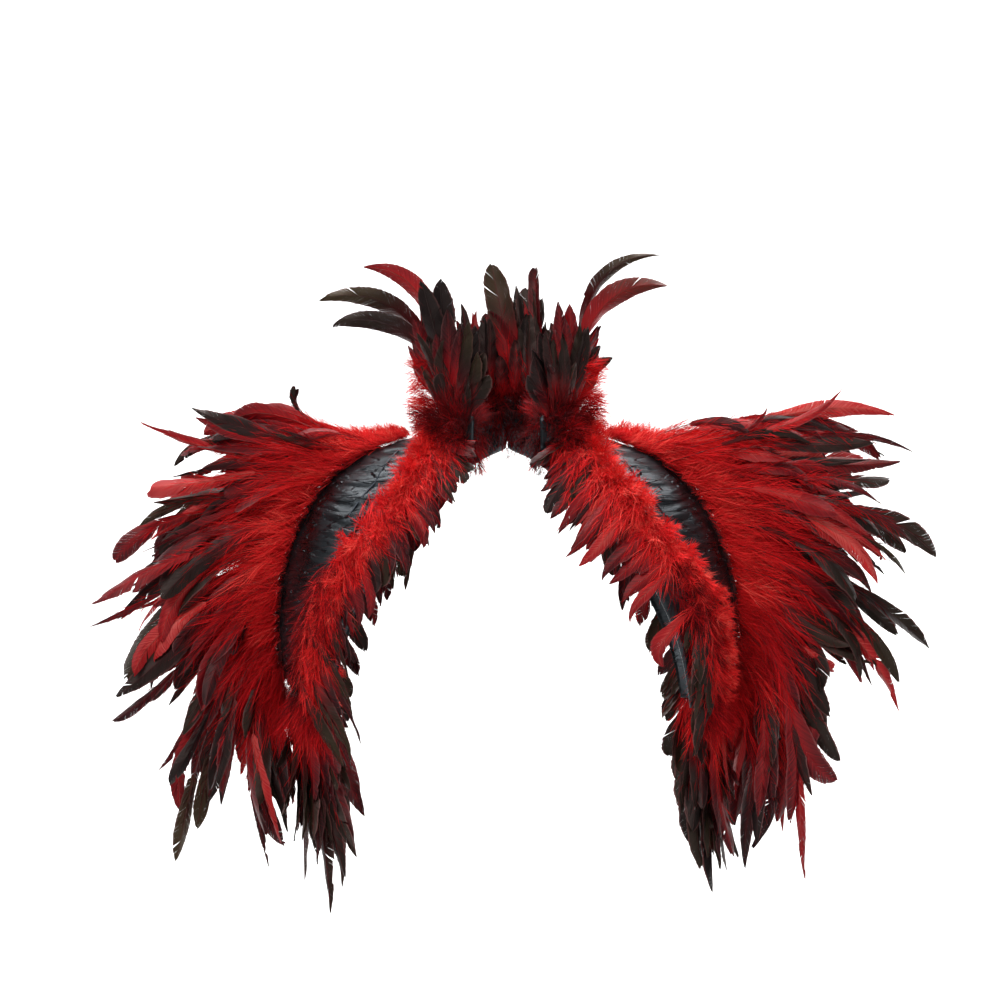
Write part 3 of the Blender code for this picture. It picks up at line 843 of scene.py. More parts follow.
def wing_row(row, side_name):
    """The feathers of one wing row: its long ones, then shorter ones between them."""
    side, rng = SIDES[side_name], seeded(f"wing {row} {side_name}")
    blades, depth = WING_BLADES[side_name], WING_ROWS[row].depth
    feathers = [] if row == "mid" else wing_keys(row, side_name, rng)
    ends = [tip_point(blade, side) for blade in blades[2:]]
    for share in spaced(WING_ROWS[row].feathers, rng):
        shift = rng.uniform(-0.035, 0.035)
        seat = wing_seat(row, np.interp(share, (0, 1), WING_SPAN), side, shift)
        near = tip_at(ends, share) + np.array((0, depth + rng.uniform(-16, 16) * MM, 0))
        reach = rng.uniform(0.42, 0.9) ** 0.85
        end = seat.point + (near - seat.point) * reach + rng.normal(0, 8 * MM, 3)
        dye = rng.choice((0.16, 0.34, 0.44, 0.54, 0.66, 0.78, 0.90)) + rng.normal(0, 0.07)
        dye = np.clip(dye + 0.12 * smooth(0.55, 0.9, share), 0, 1)
        feathers.append(
            Feather(
                seat.point,
                unit(seat.way + rng.normal(0, 0.16, 3)),
                end,
                seat.face,
                rng.uniform(13, 24) * MM,
                dye,
                rng.uniform(0, 0.6),
                web=rng.uniform(0.30, 0.5),
                fluff=np.interp(share, (0.5, 0.9), (0.6, 0.32)),
                droop=rng.uniform(-0.1, 0.9),
                hook=rng.normal(0, 0.5),
                twist=rng.normal(0, 0.8),
                bronze=rng.uniform(0, 0.4) * (dye > 0.7),
                rim=rng.uniform(0.0, 0.8),
            )
        )
    return feathers


def edge_row(tips, span, side_name, front, count, name):
    """The feathers beside a front or a back edge."""
    side, rng = SIDES[side_name], seeded(name)
    gap = CHEST_GAP[side_name]
    feathers = []
    for share, filler in strip_places(tips, count, rng):
        if filler and gap[0] < share < gap[1]:
            continue
        tip = Tip(*tip_at(tips, share))
        down = np.interp(share, (0, 1), span)
        high = np.interp(down, (0.1, 0.3, 0.5, 0.7), (0.22, 0.09, 0.05, -0.02))
        line = CHEST_LINE + 0.05 + rng.uniform(-0.05, high) * filler
        curls = tip.lean > CURL_LEAN and not filler
        above = 0.0 if curls else np.interp(down, (0.05, 0.15), (0.04, 0.08))
        seat = edge_seat(line, down - above, side, front, 0.0 if curls else None)
        root = seat.point + seat.face * (3 if filler else 6) * MM
        end = tip_point(tip, side)
        if filler:
            end = root + (end - root) * rng.uniform(0.55, 1.1) + rng.normal(0, 5 * MM, 3)
        dye = np.clip(tip.dye + rng.normal(0, 0.16) * filler, 0, 1)
        feathers.append(
            Feather(
                root,
                unit(seat.way + seat.face * 0.4 + rng.normal(0, 0.15, 3) * filler),
                end,
                seat.face,
                (tip.width * 0.85 if not filler else rng.uniform(8, 14)) * MM,
                dye,
                np.clip(tip.blunt + rng.normal(0, 0.12) * filler, 0, 0.35),
                web=0.24,
                upright=0.6 if curls else 0.36,
                droop=rng.uniform(0.1, 0.6),
                hook=rng.normal(0, 0.25),
                lean=side * tip.lean,
                twist=rng.normal(0, 0.5) * filler,
                bronze=rng.uniform(0, 0.8) * (dye > 0.7),
                rim=rng.uniform(0.1, 1.0),
            )
        )
    return feathers


def hem_row(side_name, front, count):
    """The long feathers that hang from the hem, before or behind the arm."""
    side, rng = SIDES[side_name], seeded(f"hem {side_name} {front}")
    tips = HEM_TIPS[side_name]
    feathers = []
    for share, filler in strip_places(tips, count, rng):
        tip = Tip(*tip_at(tips, share))
        seat = hem_seat(np.interp(share, (0, 1), HEM_SPAN), side, front)
        end = tip_point(tip, side) * (1, 1 if front else -1, 1)
        if filler:
            end = seat.point + (end - seat.point) * rng.uniform(0.45, 0.95)
            end = end + rng.normal(0, 8 * MM, 3)
        dye = np.clip(tip.dye + rng.normal(0, 0.18) * filler, 0, 1)
        feathers.append(
            Feather(
                seat.point,
                unit(seat.way + rng.normal(0, 0.1, 3) * filler),
                end,
                seat.face,
                (tip.width if not filler else rng.uniform(13, 20)) * MM,
                dye,
                tip.blunt,
                web=0.2,
                upright=0.4,
                droop=0.2,
                hook=rng.normal(0, 0.2),
                twist=rng.normal(0, 0.5),
                bronze=rng.uniform(0, 0.6) * (dye > 0.65),
                rim=rng.uniform(0.3, 1.0),
            )
        )
    return feathers


def turned_to_front(angle):
    """The front, for a plume at the side that turns its flat side forward, or None."""
    return FRONT if TURN_TO_FRONT[0] < abs(angle) < TURN_TO_FRONT[1] else None


def collar_outer(count):
    """The collar's outer feathers: those of the table, then shorter ones all round."""
    rng = seeded("collar outer")
    feathers = []
    for plume in COLLAR_PLUMES:
        seat = collar_seat(plume.angle, 14 * MM)
        end = np.array((plume.x, plume.y, plume.z)) * MM
        leans_out = abs(plume.x) > 100
        feathers.append(
            Feather(
                seat.point,
                UP,
                end,
                seat.face,
                plume.width * (0.95 if leans_out or plume.y > 70 else 0.72) * MM,
                plume.dye,
                plume.blunt * (1.0 if plume.y > 70 else 0.4),
                upright=0.62 if leans_out else 0.46,
                droop=0.55 if leans_out else -0.5,
                bronze=plume.bronze,
                rim=rng.uniform(0.1, 0.5),
                web=0.12,
                facing=turned_to_front(plume.angle),
                fluff=0.2 if abs(plume.angle) < COLLAR_DARK["barbs"] or plume.dye > 0.85 else 0.5,
            )
        )
    for angle in np.linspace(-174, 174, count) + rng.uniform(-3, 3, count):
        if abs(angle) < COLLAR_OPEN["outer"]:
            continue
        seat = collar_seat(angle, rng.uniform(2, 26) * MM)
        height = rng.uniform(70, 132) * np.interp(abs(angle), (34, 70, 180), (0.75, 1.0, 1.15)) * MM
        reach = np.interp(abs(angle), (34, 90, 180), (66, 94, 82)) + rng.normal(0, 6)
        end = unit(seat.point * (1, 1, 0)) * reach * MM + UP * height
        end[0] *= np.interp(abs(angle), (30, 60), (0.7, 1))
        dark = abs(angle) < COLLAR_DARK["plumes"]
        dyes = (0.85, 0.95, 1.0) if dark else (0.3, 0.45, 0.6, 0.8)
        dye = np.clip(rng.choice(dyes) + rng.normal(0, 0.07), 0, 1)
        feathers.append(
            Feather(
                seat.point,
                unit(UP + seat.face * 0.15),
                end,
                seat.face,
                rng.uniform(10, 17) * MM,
                dye,
                rng.uniform(0, 0.25),
                upright=0.4,
                droop=rng.uniform(-0.2, 0.3),
                hook=rng.normal(0, 0.25),
                twist=rng.normal(0, 0.35),
                bronze=rng.uniform(0, 0.4) * (dye > 0.7),
                rim=rng.uniform(0.0, 0.6),
                web=0.10,
                facing=turned_to_front(angle),
                fluff=0.15 if abs(angle) < COLLAR_DARK["barbs"] else 0.5,
            )
        )
    return feathers


def collar_inner(count):
    """Dark feathers that line the collar."""
    rng = seeded("collar inner")
    feathers = []
    for angle in np.linspace(-179, 179, count) + rng.uniform(-2, 2, count):
        if not COLLAR_OPEN["inner"] <= abs(angle) <= NAPE:
            continue
        seat = collar_seat(angle, rng.uniform(8, 22) * MM, inside=True)
        height = rng.uniform(70, 118) * np.interp(abs(angle), (34, 180), (0.75, 1.2)) * MM
        reach = np.interp(abs(angle), (34, 90, 180), (58, 62, 68)) + rng.normal(0, 3)
        end = unit(seat.point * (1, 1, 0)) * reach * MM + UP * height
        end[0] *= np.interp(abs(angle), (30, 60), (0.7, 1))
        dye = np.clip(rng.choice((0.6, 0.85, 1.0)) + rng.normal(0, 0.05), 0, 1)
        feathers.append(
            Feather(
                seat.point,
                UP,
                end,
                seat.face,
                rng.uniform(14, 22) * MM,
                dye,
                rng.uniform(0.0, 0.4),
                upright=0.4,
                droop=-0.1,
                twist=rng.normal(0, 0.2),
                bronze=rng.uniform(0, 0.3),
                rim=rng.uniform(0.0, 0.3),
                web=0.12,
                fluff=0.2,
            )
        )
    return feathers


def streamers(row, side_name):
    """Long loose barbs that stream along the lower half of a wing's feathers."""
    side, rng = SIDES[side_name], seeded(f"streamers {row} {side_name}")
    count, depth = WING_ROWS[row].streamers, np.array((0, WING_ROWS[row].depth, 0))
    ends = [tip_point(blade, side) for blade in WING_BLADES[side_name][2:]]
    places = []
    for down in np.interp(spaced(count, rng), (0, 1), (0.24, 0.95)):
        seat = wing_seat(row, down, side, rng.uniform(-0.03, 0.03))
        ahead = unit(tip_at(ends, down, WING_SPAN) + depth - seat.point)
        root = seat.point + seat.way * rng.uniform(4, 22) * MM
        places.append((root, ahead + seat.way * 0.3 + rng.normal(0, 0.15, 3), seat.face))
    shorter_above = np.interp(np.linspace(0, 1, count), (0, 0.2), (0.7, 1))
    lengths = rng.uniform(52, 96, count) * shorter_above * MM
    return tuft_barbs(places, lengths, 26, rng, 0.42, (4, 26))


def tufts_on_cape(side, patch, flow, name):
    """Down rooted in a patch of the cape. flow gives a tuft's way from the cape's own ways."""
    rng = seeded(name)
    places = []
    downs = np.interp(spaced(patch.count, rng), (0, 1), patch.down)
    for down in downs:
        at = rng.uniform(*patch.across)
        back, hem, out = cape_ways(at, down, side)
        root = cape_point(at, down, side) + out * rng.uniform(1.5, 6) * MM
        places.append((root, flow(back, hem, out, down, rng), out))
    shorter_above = np.interp(downs, (0.18, 0.4), (0.4, 1))
    lengths = rng.uniform(*patch.length, patch.count) * shorter_above * MM
    tone = patch.tone - 0.25 * smooth(0.6, 0.95, downs) * (patch.tone > 0.5)
    return tuft_barbs(places, lengths, patch.per_tuft, rng, tone)


def tufts_by_edge(side_name, front, count, name):
    """Down between the front or back edge and the band, over the band's inner edge in places."""
    side, rng = SIDES[side_name], seeded(name + " tufts")
    edge, starts = np.array(DOWN_EDGE[side_name]), np.array(DOWN_START[side_name])
    flow = inner_flow(front)
    places, sizes = [], []
    for place in spaced(count, rng):
        down = 0.985 * place
        high = np.interp(down, edge[:, 0], edge[:, 1])
        share = rng.uniform(0, 1) ** 0.8
        low = np.interp(down, starts[:, 0], starts[:, 1])
        margin = np.interp(down, (0.15, 0.2, 0.45, 0.5), (0.085, 0.115, 0.115, 0.085))
        at = np.interp(share, (0, 1), (low, max(high - margin, low + 0.02)))
        at = at if front else 1 - at
        back, hem, out = cape_ways(at, down, side)
        root = cape_point(at, down, side) + out * rng.uniform(2, 6) * MM
        places.append((root, flow(back, hem, out, down, rng), out))
        size = rng.uniform(18, 30) * MM * (1 - 0.45 * share)
        sizes.append(size * np.interp(down, (0.4, 0.6), (1, 0.8)))
    return tuft_barbs(places, np.array(sizes), 36, rng, 0.66)


def outer_flow(side, front):
    """Down outside the band streams away from it with the wing feathers."""

    def flow(back, hem, out, down, rng):
        over = back if front else -back
        spread = np.interp(down, (0.2, 0.4, 0.6, 1), (0.7, 1.4, 0.7, 0.5))
        sideways = np.array((side, 0, 0)) * spread
        return over * 0.5 + out * 0.35 + sideways + hem * 0.9 * down**2 + rng.normal(0, 0.22, 3)

    return flow


def ridge_flow(side):
    """Down on the shoulder's ridge stands out from it."""

    def flow(back, hem, out, down, rng):
        spread = np.interp(down, (0.2, 0.4, 0.6, 1), (0.5, 1.4, 0.6, 0.4))
        sideways = np.array((side, 0, 0)) * spread
        return out * 0.9 + sideways + hem * 0.9 * down**2 + rng.normal(0, 0.3, 3)

    return flow


def inner_flow(front):
    """Down inside the band runs every way, most of it down and towards the edge."""

    def flow(back, hem, out, down, rng):
        over = -back if front else back
        return over * rng.normal(0.35, 0.75) + hem * rng.normal(0.45, 0.5) + out * 0.55

    return flow


def hem_flow(back, hem, out, down, rng):
    """Down at the hem hangs."""
    return hem + out * 0.25 + rng.normal(0, 0.2, 3)


def tape(pile, seats):
    """The woven tape that a row of feathers is sewn on."""
    ring = []
    for seat in seats:
        half, under = seat.way * TAPE_WIDTH * 0.5, seat.face * MM
        low, high = seat.point - half, seat.point + half
        ring.append((low, high, high - under, low - under))
    pile.add(np.array(ring), tube_faces(len(ring), 4), material=1)


def feather_pieces(node, feathers, seats, tufts, finishes):
    """The feathers of one strip with their tape, and the down that goes with them."""
    rng = seeded(node)
    vanes = Pile("along", "across", "barb", "dye", "bronze", "rim", "shaft")
    for feather in feathers:
        add_vane(vanes, feather, rng)
        add_shaft(vanes, feather)
    tape(vanes, seats)
    piece = vanes.build(f"{node}_vanes", (finishes["feather"], finishes["tape"]))
    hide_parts(node)
    down = Pile("along", "tone")
    for barbs in (*(loose_barbs(feather, rng) for feather in feathers), *tufts):
        add_barbs(down, barbs, rng)
    fluff = down.build(f"{node}_down", (finishes["down"],))


def add_wings(side_name, finishes):
    side = SIDES[side_name]
    for row, wing in WING_ROWS.items():
        node = f"wing_{row}_{side_name}"
        flow = ridge_flow(side) if row == "mid" else outer_flow(side, row == "front")
        fluff = [tufts_on_cape(side, wing.down, flow, node), streamers(row, side_name)]
        if row == "front":
            fluff.append(tufts_on_cape(side, CORNER_DOWN, hem_flow, "corner"))
        seats = [wing_seat(row, down, side) for down in np.linspace(*WING_SPAN, 24)]
        feather_pieces(node, wing_row(row, side_name), seats, fluff, finishes)


def add_edges(side_name, finishes):
    side = SIDES[side_name]
    for node, tips, span, front, count, tufts in (
        (f"chest_feathers_{side_name}", CHEST_TIPS[side_name], CHEST_SPAN, True, 76, 620),
        (f"back_feathers_{side_name}", BACK_TIPS, BACK_SPAN, False, 34, 400),
    ):
        fluff = [tufts_by_edge(side_name, front, tufts, node)]
        if front:
            # The near-black down by the front edge is painted shade
            fluff.append(tufts_on_cape(side, EDGE_SHADE_DOWN, hem_flow, "edge"))
        feathers = edge_row(tips, span, side_name, front, count, node)
        seats = [edge_seat(CHEST_LINE, down, side, front) for down in np.linspace(*span, 20)]
        feather_pieces(node, feathers, seats, fluff, finishes)


def add_hems(side_name, finishes):
    side = SIDES[side_name]
    for half, patch in HEM_DOWN.items():
        node = f"hem_feathers_{half}_{side_name}"
        front = half == "front"
        fluff = [tufts_on_cape(side, patch, hem_flow, node)]
        feathers = hem_row(side_name, front, 34)
        seats = [hem_seat(across, side, front) for across in np.linspace(*HEM_SPAN, 12)]
        feather_pieces(node, feathers, seats, fluff, finishes)


def collar_fluff(count, inside, name):
    """Down round the collar: outside thickest low down; inside near black, a painted shade, and over
    the stand's foot.
    """
    rng = seeded(name)
    places, tones = [], []
    for angle in np.linspace(-179, 179, count) + rng.uniform(-2, 2, count):
        if not COLLAR_OPEN["down"] < abs(angle) < NAPE:
            continue
        dark = inside or abs(angle) < COLLAR_DARK["tufts"]
        if inside:
            height = rng.uniform(-4, 30) * MM
            seat = collar_seat(angle, height, True)
            root = seat.point
            axis = seat.face * 0.3 + UP * rng.normal(-1.0 if height < 12 * MM else 0.1, 0.4)
        else:
            height = rng.uniform(0, 1) ** 1.3 * (30 if dark else 72) * MM
            seat = collar_seat(angle, min(height, STAND_HEIGHT))
            spread = 3 * MM + height * 0.10
            root = seat.point + seat.face * spread + UP * max(height - STAND_HEIGHT, 0)
            axis = seat.face * 0.9 + UP * rng.normal(0.35, 0.45) + rng.normal(0, 0.3, 3)
        places.append((root, axis, seat.face))
        # Inside the collar the near-black down is painted shade over the stand's foot
        tones.append(0.1 if dark else 0.58)
    lengths = rng.uniform(22, 34, len(places)) * MM
    return tuft_barbs(places, lengths, 28, rng, np.array(tones))


def add_collar(finishes):
    angles = np.linspace(-179, -36, 30)
    ring = [*angles[::-1], *(-angles)]
    for row, feathers, inside, tufts in (
        ("outer", collar_outer(130), False, 620),
        ("inner", collar_inner(70), True, 460),
    ):
        node = f"collar_feathers_{row}"
        seats = [collar_seat(angle, 12 * MM, inside) for angle in ring]
        fluff = [collar_fluff(tufts, inside, node)]
        feather_pieces(node, feathers, seats, fluff, finishes)


def creases(across, down, seed):
    """An uneven height between 0 and 1: a few soft waves of different length and slant."""
    rng = seeded(seed)
    total = 0
    for slant, pitch in ((0.6, 3.1), (-0.9, 4.3), (0.3, 6.7)):
        total = total + np.sin(2 * math.pi * (pitch * down + slant * across + rng.random()))
    return 0.5 + total / 6


def cloth_shell(name, points, thickness, material, node):
    """A thin shell through a grid of points that stands for a cloth node."""
    rows, columns = points.shape[:2]
    pile = Pile("weft", "warp", "drop")
    warp = np.linalg.norm(np.diff(points, axis=0), axis=2).mean(1).cumsum()
    weft = np.linalg.norm(np.diff(points, axis=1), axis=2).mean(0).cumsum()
    weft, warp = np.meshgrid(np.append(0, weft), np.append(0, warp))
    drop = -points[:, :, 2] / MM
    pile.add(points, grid_faces(rows, columns), weft=weft / MM, warp=warp / MM, drop=drop)
    piece = pile.build(name, (material,))
    solidify = piece.modifiers.new("wall", "SOLIDIFY")
    solidify.thickness = thickness
    solidify.offset = 0
    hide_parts(node)
    return piece


def add_panels(side_name, satin):
    side = SIDES[side_name]
    for half, span in PANEL_SPANS.items():
        node = f"cape_{half}_{side_name}"
        rows = []
        for down in np.linspace(0, 1, PANEL_GRID[0]):
            row = []
            for across in np.linspace(*span, PANEL_GRID[1]):
                fold = creases(across * 2, down, node) * PANEL_CREASE
                row.append(cape_point(across, down, side) - cape_ways(across, down, side)[2] * fold)
            rows.append(row)
        piece = cloth_shell(f"{node}_cloth", np.array(rows), SATIN, satin, node)


def pleat_height(across, drop, tucks):
    """The height of the band's gathers at a place across it and a drop below the neck.

    Each tuck rises slowly and falls off at once, and some are short. Gathered on the bias, they
    lie level, whichever way the band runs.
    """
    wander = 0.3 * across + 0.2 * math.sin(5 * across + 45 * drop)
    phase = drop / PLEAT_PITCH + wander + NECK_TUCK
    total = 0
    for row, offset in enumerate((0.0, 0.47)):
        number = int(phase + offset)
        share = phase + offset - number
        depth, start, end = tucks[row][number % len(tucks[row])]
        rise = share**1.4 * (1 - smooth(0.88, 1.0, share))
        spread = smooth(start - 0.12, start, across) * (1 - smooth(end, end + 0.12, across))
        total += depth * rise * spread
    return total + 0.06 * math.sin(2 * math.pi * (3.3 * phase + 2.2 * across))


def tuck_table(rng):
    """Depth, start and end across the band for each tuck of two rows, most of the second short."""
    long_row = [(rng.uniform(0.6, 1.2), -0.2, rng.choice((1.2, 1.2, 0.65))) for _ in range(TUCKS)]
    short_row = []
    for _ in range(TUCKS):
        low = rng.choice((-0.2, 0.45, 0.55))
        short_row.append((rng.uniform(0.2, 0.9), low, 1.2 if low > 0 else rng.uniform(0.3, 0.6)))
    return long_row, short_row


def add_bands(side_name, finishes):
    side, base = SIDES[side_name], (WALL + BAND_SATIN) / 2 + BAND_GAP
    for half in ("front", "back"):
        node = f"satin_band_{half}_{side_name}"
        tucks = tuck_table(seeded(node))
        rows = []
        for down in np.linspace(*BAND_SPAN, BAND_GRID[0]):
            row = []
            for share in np.linspace(0, 1, BAND_GRID[1]):
                at = np.interp(share, (0, 1), BAND_COLUMNS)
                at = at if half == "front" else 1 - at
                point, out = cape_point(at, down, side), cape_ways(at, down, side)[2]
                fuller = 0.5 + 0.5 * math.sin(math.pi * share)
                height = pleat_height(share, -point[2], tucks) * fuller
                row.append(point + out * (base + max(height, 0) * PLEAT_RISE))
            rows.append(row)
        piece = cloth_shell(
            f"{node}_cloth",
            np.array(rows),
            BAND_SATIN,
            finishes["pleated"],
            node,
        )
        if half == "front":
            add_edging(f"{node}_edging", side, base, finishes["edging"])


def add_edging(name, side, base, satin):
    """The narrow hem line that shows on the upper part of a front band, beside the down; its grey-blue
    is a painted sheen of black satin.
    """
    downs, places = np.array(HEM_LINE_SHOWN).T
    line, outs = [], []
    for down in np.linspace(downs[0], downs[-1], 40):
        at = np.interp(down, downs, places)
        outs.append(cape_ways(at, down, side)[2])
        line.append(cape_point(at, down, side) + outs[-1] * (base + HEM_LINE_LIFT))
    line, outs = np.array(line), np.array(outs)
    across = unit(np.cross(unit(np.gradient(line, axis=0)), outs))
    angles = np.radians((45, 135, 225, 315))[None, :, None]
    ring = across[:, None] * np.cos(angles) * 0.9 + outs[:, None] * np.sin(angles) * 0.6
    warp = np.linalg.norm(line - line[0], axis=1) / MM
    pile = Pile("weft", "warp")
    pile.add(line[:, None] + ring * MM, tube_faces(len(line), 4), warp=np.repeat(warp, 4))
    pile.build(name, (satin,))


def add_stand(satin):
    turns = np.linspace(-1, 1, 61)
    heights = np.linspace(-STAND_BELOW, STAND_HEIGHT, 6)
    points = np.array([[stand_point(turn, height) for turn in turns] for height in heights])
    piece = cloth_shell("collar_stand_cloth", points, SATIN, satin, "collar_stand")


def add(tree, kind, inputs=None, stops=(), **settings):
    """Adds a node, sets it, and gives each numbered or named input a value or an output.

    stops are the places and colours of a ramp.
    """
    made = tree.nodes.new(kind)
    for key, value in settings.items():
        setattr(made, key, value)
    for key, value in (inputs or {}).items():
        if isinstance(value, bpy.types.NodeSocket):
            tree.links.new(value, made.inputs[key])
        else:
            made.inputs[key].default_value = value
    if stops:
        ramp = made.color_ramp
        ramp.elements.remove(ramp.elements[1])
        for i, (place, colour) in enumerate(stops):
            stop = ramp.elements.new(place) if i else ramp.elements[0]
            stop.position = place
            stop.color = linear(colour)
    return made


# Sockets of the Mix node when it mixes colours
SHARE, UNDER, OVER, MIXED = 0, 6, 7, 2


def new_material(name, **settings):
    """A new material with its tree and shader; settings are numbers on the shader's own sockets."""
    material = bpy.data.materials.new(name)
    material.use_nodes = True
    tree = material.node_tree
    shader = tree.nodes["Principled BSDF"]
    for key, value in settings.items():
        shader.inputs[key.replace("_", " ")].default_value = value
    return material, tree, shader


def dyed_feather():
    """Rooster feather, dyed red over its own black; the bronze-green of its iridescent sheen is
    painted into the colour.

    Its barbs cling together and lie flat, so the vane is glossy along them, in fine ribs and
    streaks; the dye is bright by the down at the root and dark over the black tip.
    """
    material, tree, shader = new_material(
        "dyed_rooster_feather", Roughness=0.45, IOR=1.5, Specular_IOR_Level=0.3
    )
    shader.inputs["Specular Tint"].default_value = linear("#F0CFC8")
    along, across, barb, dye, bronze, rim, shaft = (
        add(tree, "ShaderNodeAttribute", attribute_name=name).outputs["Fac"]
        for name in ("along", "across", "barb", "dye", "bronze", "rim", "shaft")
    )
    # Barbs lie about 0.4 mm apart; they are drawn in bunches of 1.5 mm, which show
    streak = add(
        tree,
        "ShaderNodeTexNoise",
        {"W": barb, "Scale": 0.66, "Detail": 3.0, "Roughness": 0.65},
        noise_dimensions="1D",
    ).outputs["Fac"]
    uneven = add(tree, "ShaderNodeMath", {0: streak, 1: 0.5}, operation="SUBTRACT").outputs[0]
    tone = add(
        tree, "ShaderNodeMath", {0: uneven, 1: 0.75, 2: dye}, operation="MULTIPLY_ADD"
    ).outputs[0]
    # The natural black deepens towards the end, and lightens beside the shaft
    deepens = {1: 0.35, 2: 1.0, 3: -0.14, 4: 0.12}
    lightens = {1: 0.0, 2: 0.55, 3: -0.09, 4: 0.03}
    for place, limits in ((along, deepens), (across, lightens)):
        step = add(tree, "ShaderNodeMapRange", {"Value": place} | limits).outputs[0]
        tone = add(tree, "ShaderNodeMath", {0: tone, 1: step}, operation="ADD").outputs[0]
    vane = add(
        tree,
        "ShaderNodeValToRGB",
        {"Fac": tone},
        stops=(
            (0.0, "#C04A44"),
            (0.18, "#A3191D"),
            (0.38, "#760B14"),
            (0.56, "#420911"),
            (0.72, "#210A0E"),
            (0.86, "#110B0D"),
            (1.0, "#080708"),
        ),
    ).outputs["Color"]
    # The dye is bright by the down, and further out a bronze sheen is painted in streaks; the barbs'
    # ends take less dye, so many feathers have a pale pinkish rim; black feathers stay dark down to
    # the root
    rooted, outer, edge = (
        add(
            tree,
            "ShaderNodeMapRange",
            {"Value": place} | limits,
            interpolation_type="SMOOTHSTEP",
        ).outputs[0]
        for place, limits in (
            (along, {1: 0.15, 2: 0.66, 3: 0.9, 4: 0.0}),
            (along, {1: 0.4, 2: 0.85, 3: 0.0, 4: 0.9}),
            (across, {1: 0.80, 2: 1.0, 3: 0.0, 4: 0.6}),
        )
    )
    takes_dye = add(
        tree, "ShaderNodeMapRange", {"Value": dye, 1: 0.7, 2: 0.96, 3: 1.0, 4: 0.12}
    ).outputs[0]
    shares = []
    for factors in ((rooted, takes_dye), (outer, bronze, streak), (edge, rim, outer)):
        share = factors[0]
        for factor in factors[1:]:
            share = add(
                tree, "ShaderNodeMath", {0: share, 1: factor}, operation="MULTIPLY"
            ).outputs[0]
        shares.append(share)
    rooted, painted_bronze_sheen, rimmed = shares
    quill = add(
        tree,
        "ShaderNodeValToRGB",
        {"Fac": dye},
        stops=((0.0, "#A3453D"), (0.5, "#5A1A19"), (1.0, "#1E1312")),
    ).outputs["Color"]
    quill = add(
        tree,
        "ShaderNodeMix",
        {SHARE: rooted, UNDER: quill, OVER: linear("#9A0E14")},
        data_type="RGBA",
    ).outputs[MIXED]
    # The bronze olive mixed in here is the feathers' iridescent sheen, painted into their colour
    for share, over in (
        (rooted, linear("#A90C13")),
        (painted_bronze_sheen, linear("#453A22")),
        (rimmed, linear("#9A5F5E")),
        (shaft, quill),
    ):
        vane = add(
            tree, "ShaderNodeMix", {SHARE: share, UNDER: vane, OVER: over}, data_type="RGBA"
        ).outputs[MIXED]
    tree.links.new(vane, shader.inputs["Base Color"])
    ribs = add(
        tree, "ShaderNodeBump", {"Strength": 0.5, "Distance": 0.5 * MM, "Height": streak}
    )
    tree.links.new(ribs.outputs[0], shader.inputs["Normal"])
    return material


def red_down():
    """The downy barbs at the root: unhooked, fine and matt, so they take the dye brightest."""
    material, tree, shader = new_material(
        "dyed_down", Roughness=0.8, IOR=1.5, Specular_IOR_Level=0.12
    )
    along, tone = (
        add(tree, "ShaderNodeAttribute", attribute_name=name).outputs["Fac"]
        for name in ("along", "tone")
    )
    # Each barb is painted lighter towards its tip and darker at its root: painted light on the tips
    # and painted shade deep in the down
    tone_with_painted_tip_light = add(
        tree, "ShaderNodeMath", {0: along, 1: 0.22, 2: tone}, operation="MULTIPLY_ADD"
    ).outputs[0]
    colour = add(
        tree,
        "ShaderNodeValToRGB",
        {"Fac": tone_with_painted_tip_light},
        stops=(
            (0.0, "#260407"),
            (0.25, "#7E080F"),
            (0.5, "#C41016"),
            (0.75, "#E92627"),
            (1.0, "#F5584C"),
        ),
    ).outputs["Color"]
    tree.links.new(colour, shader.inputs["Base Color"])
    return material


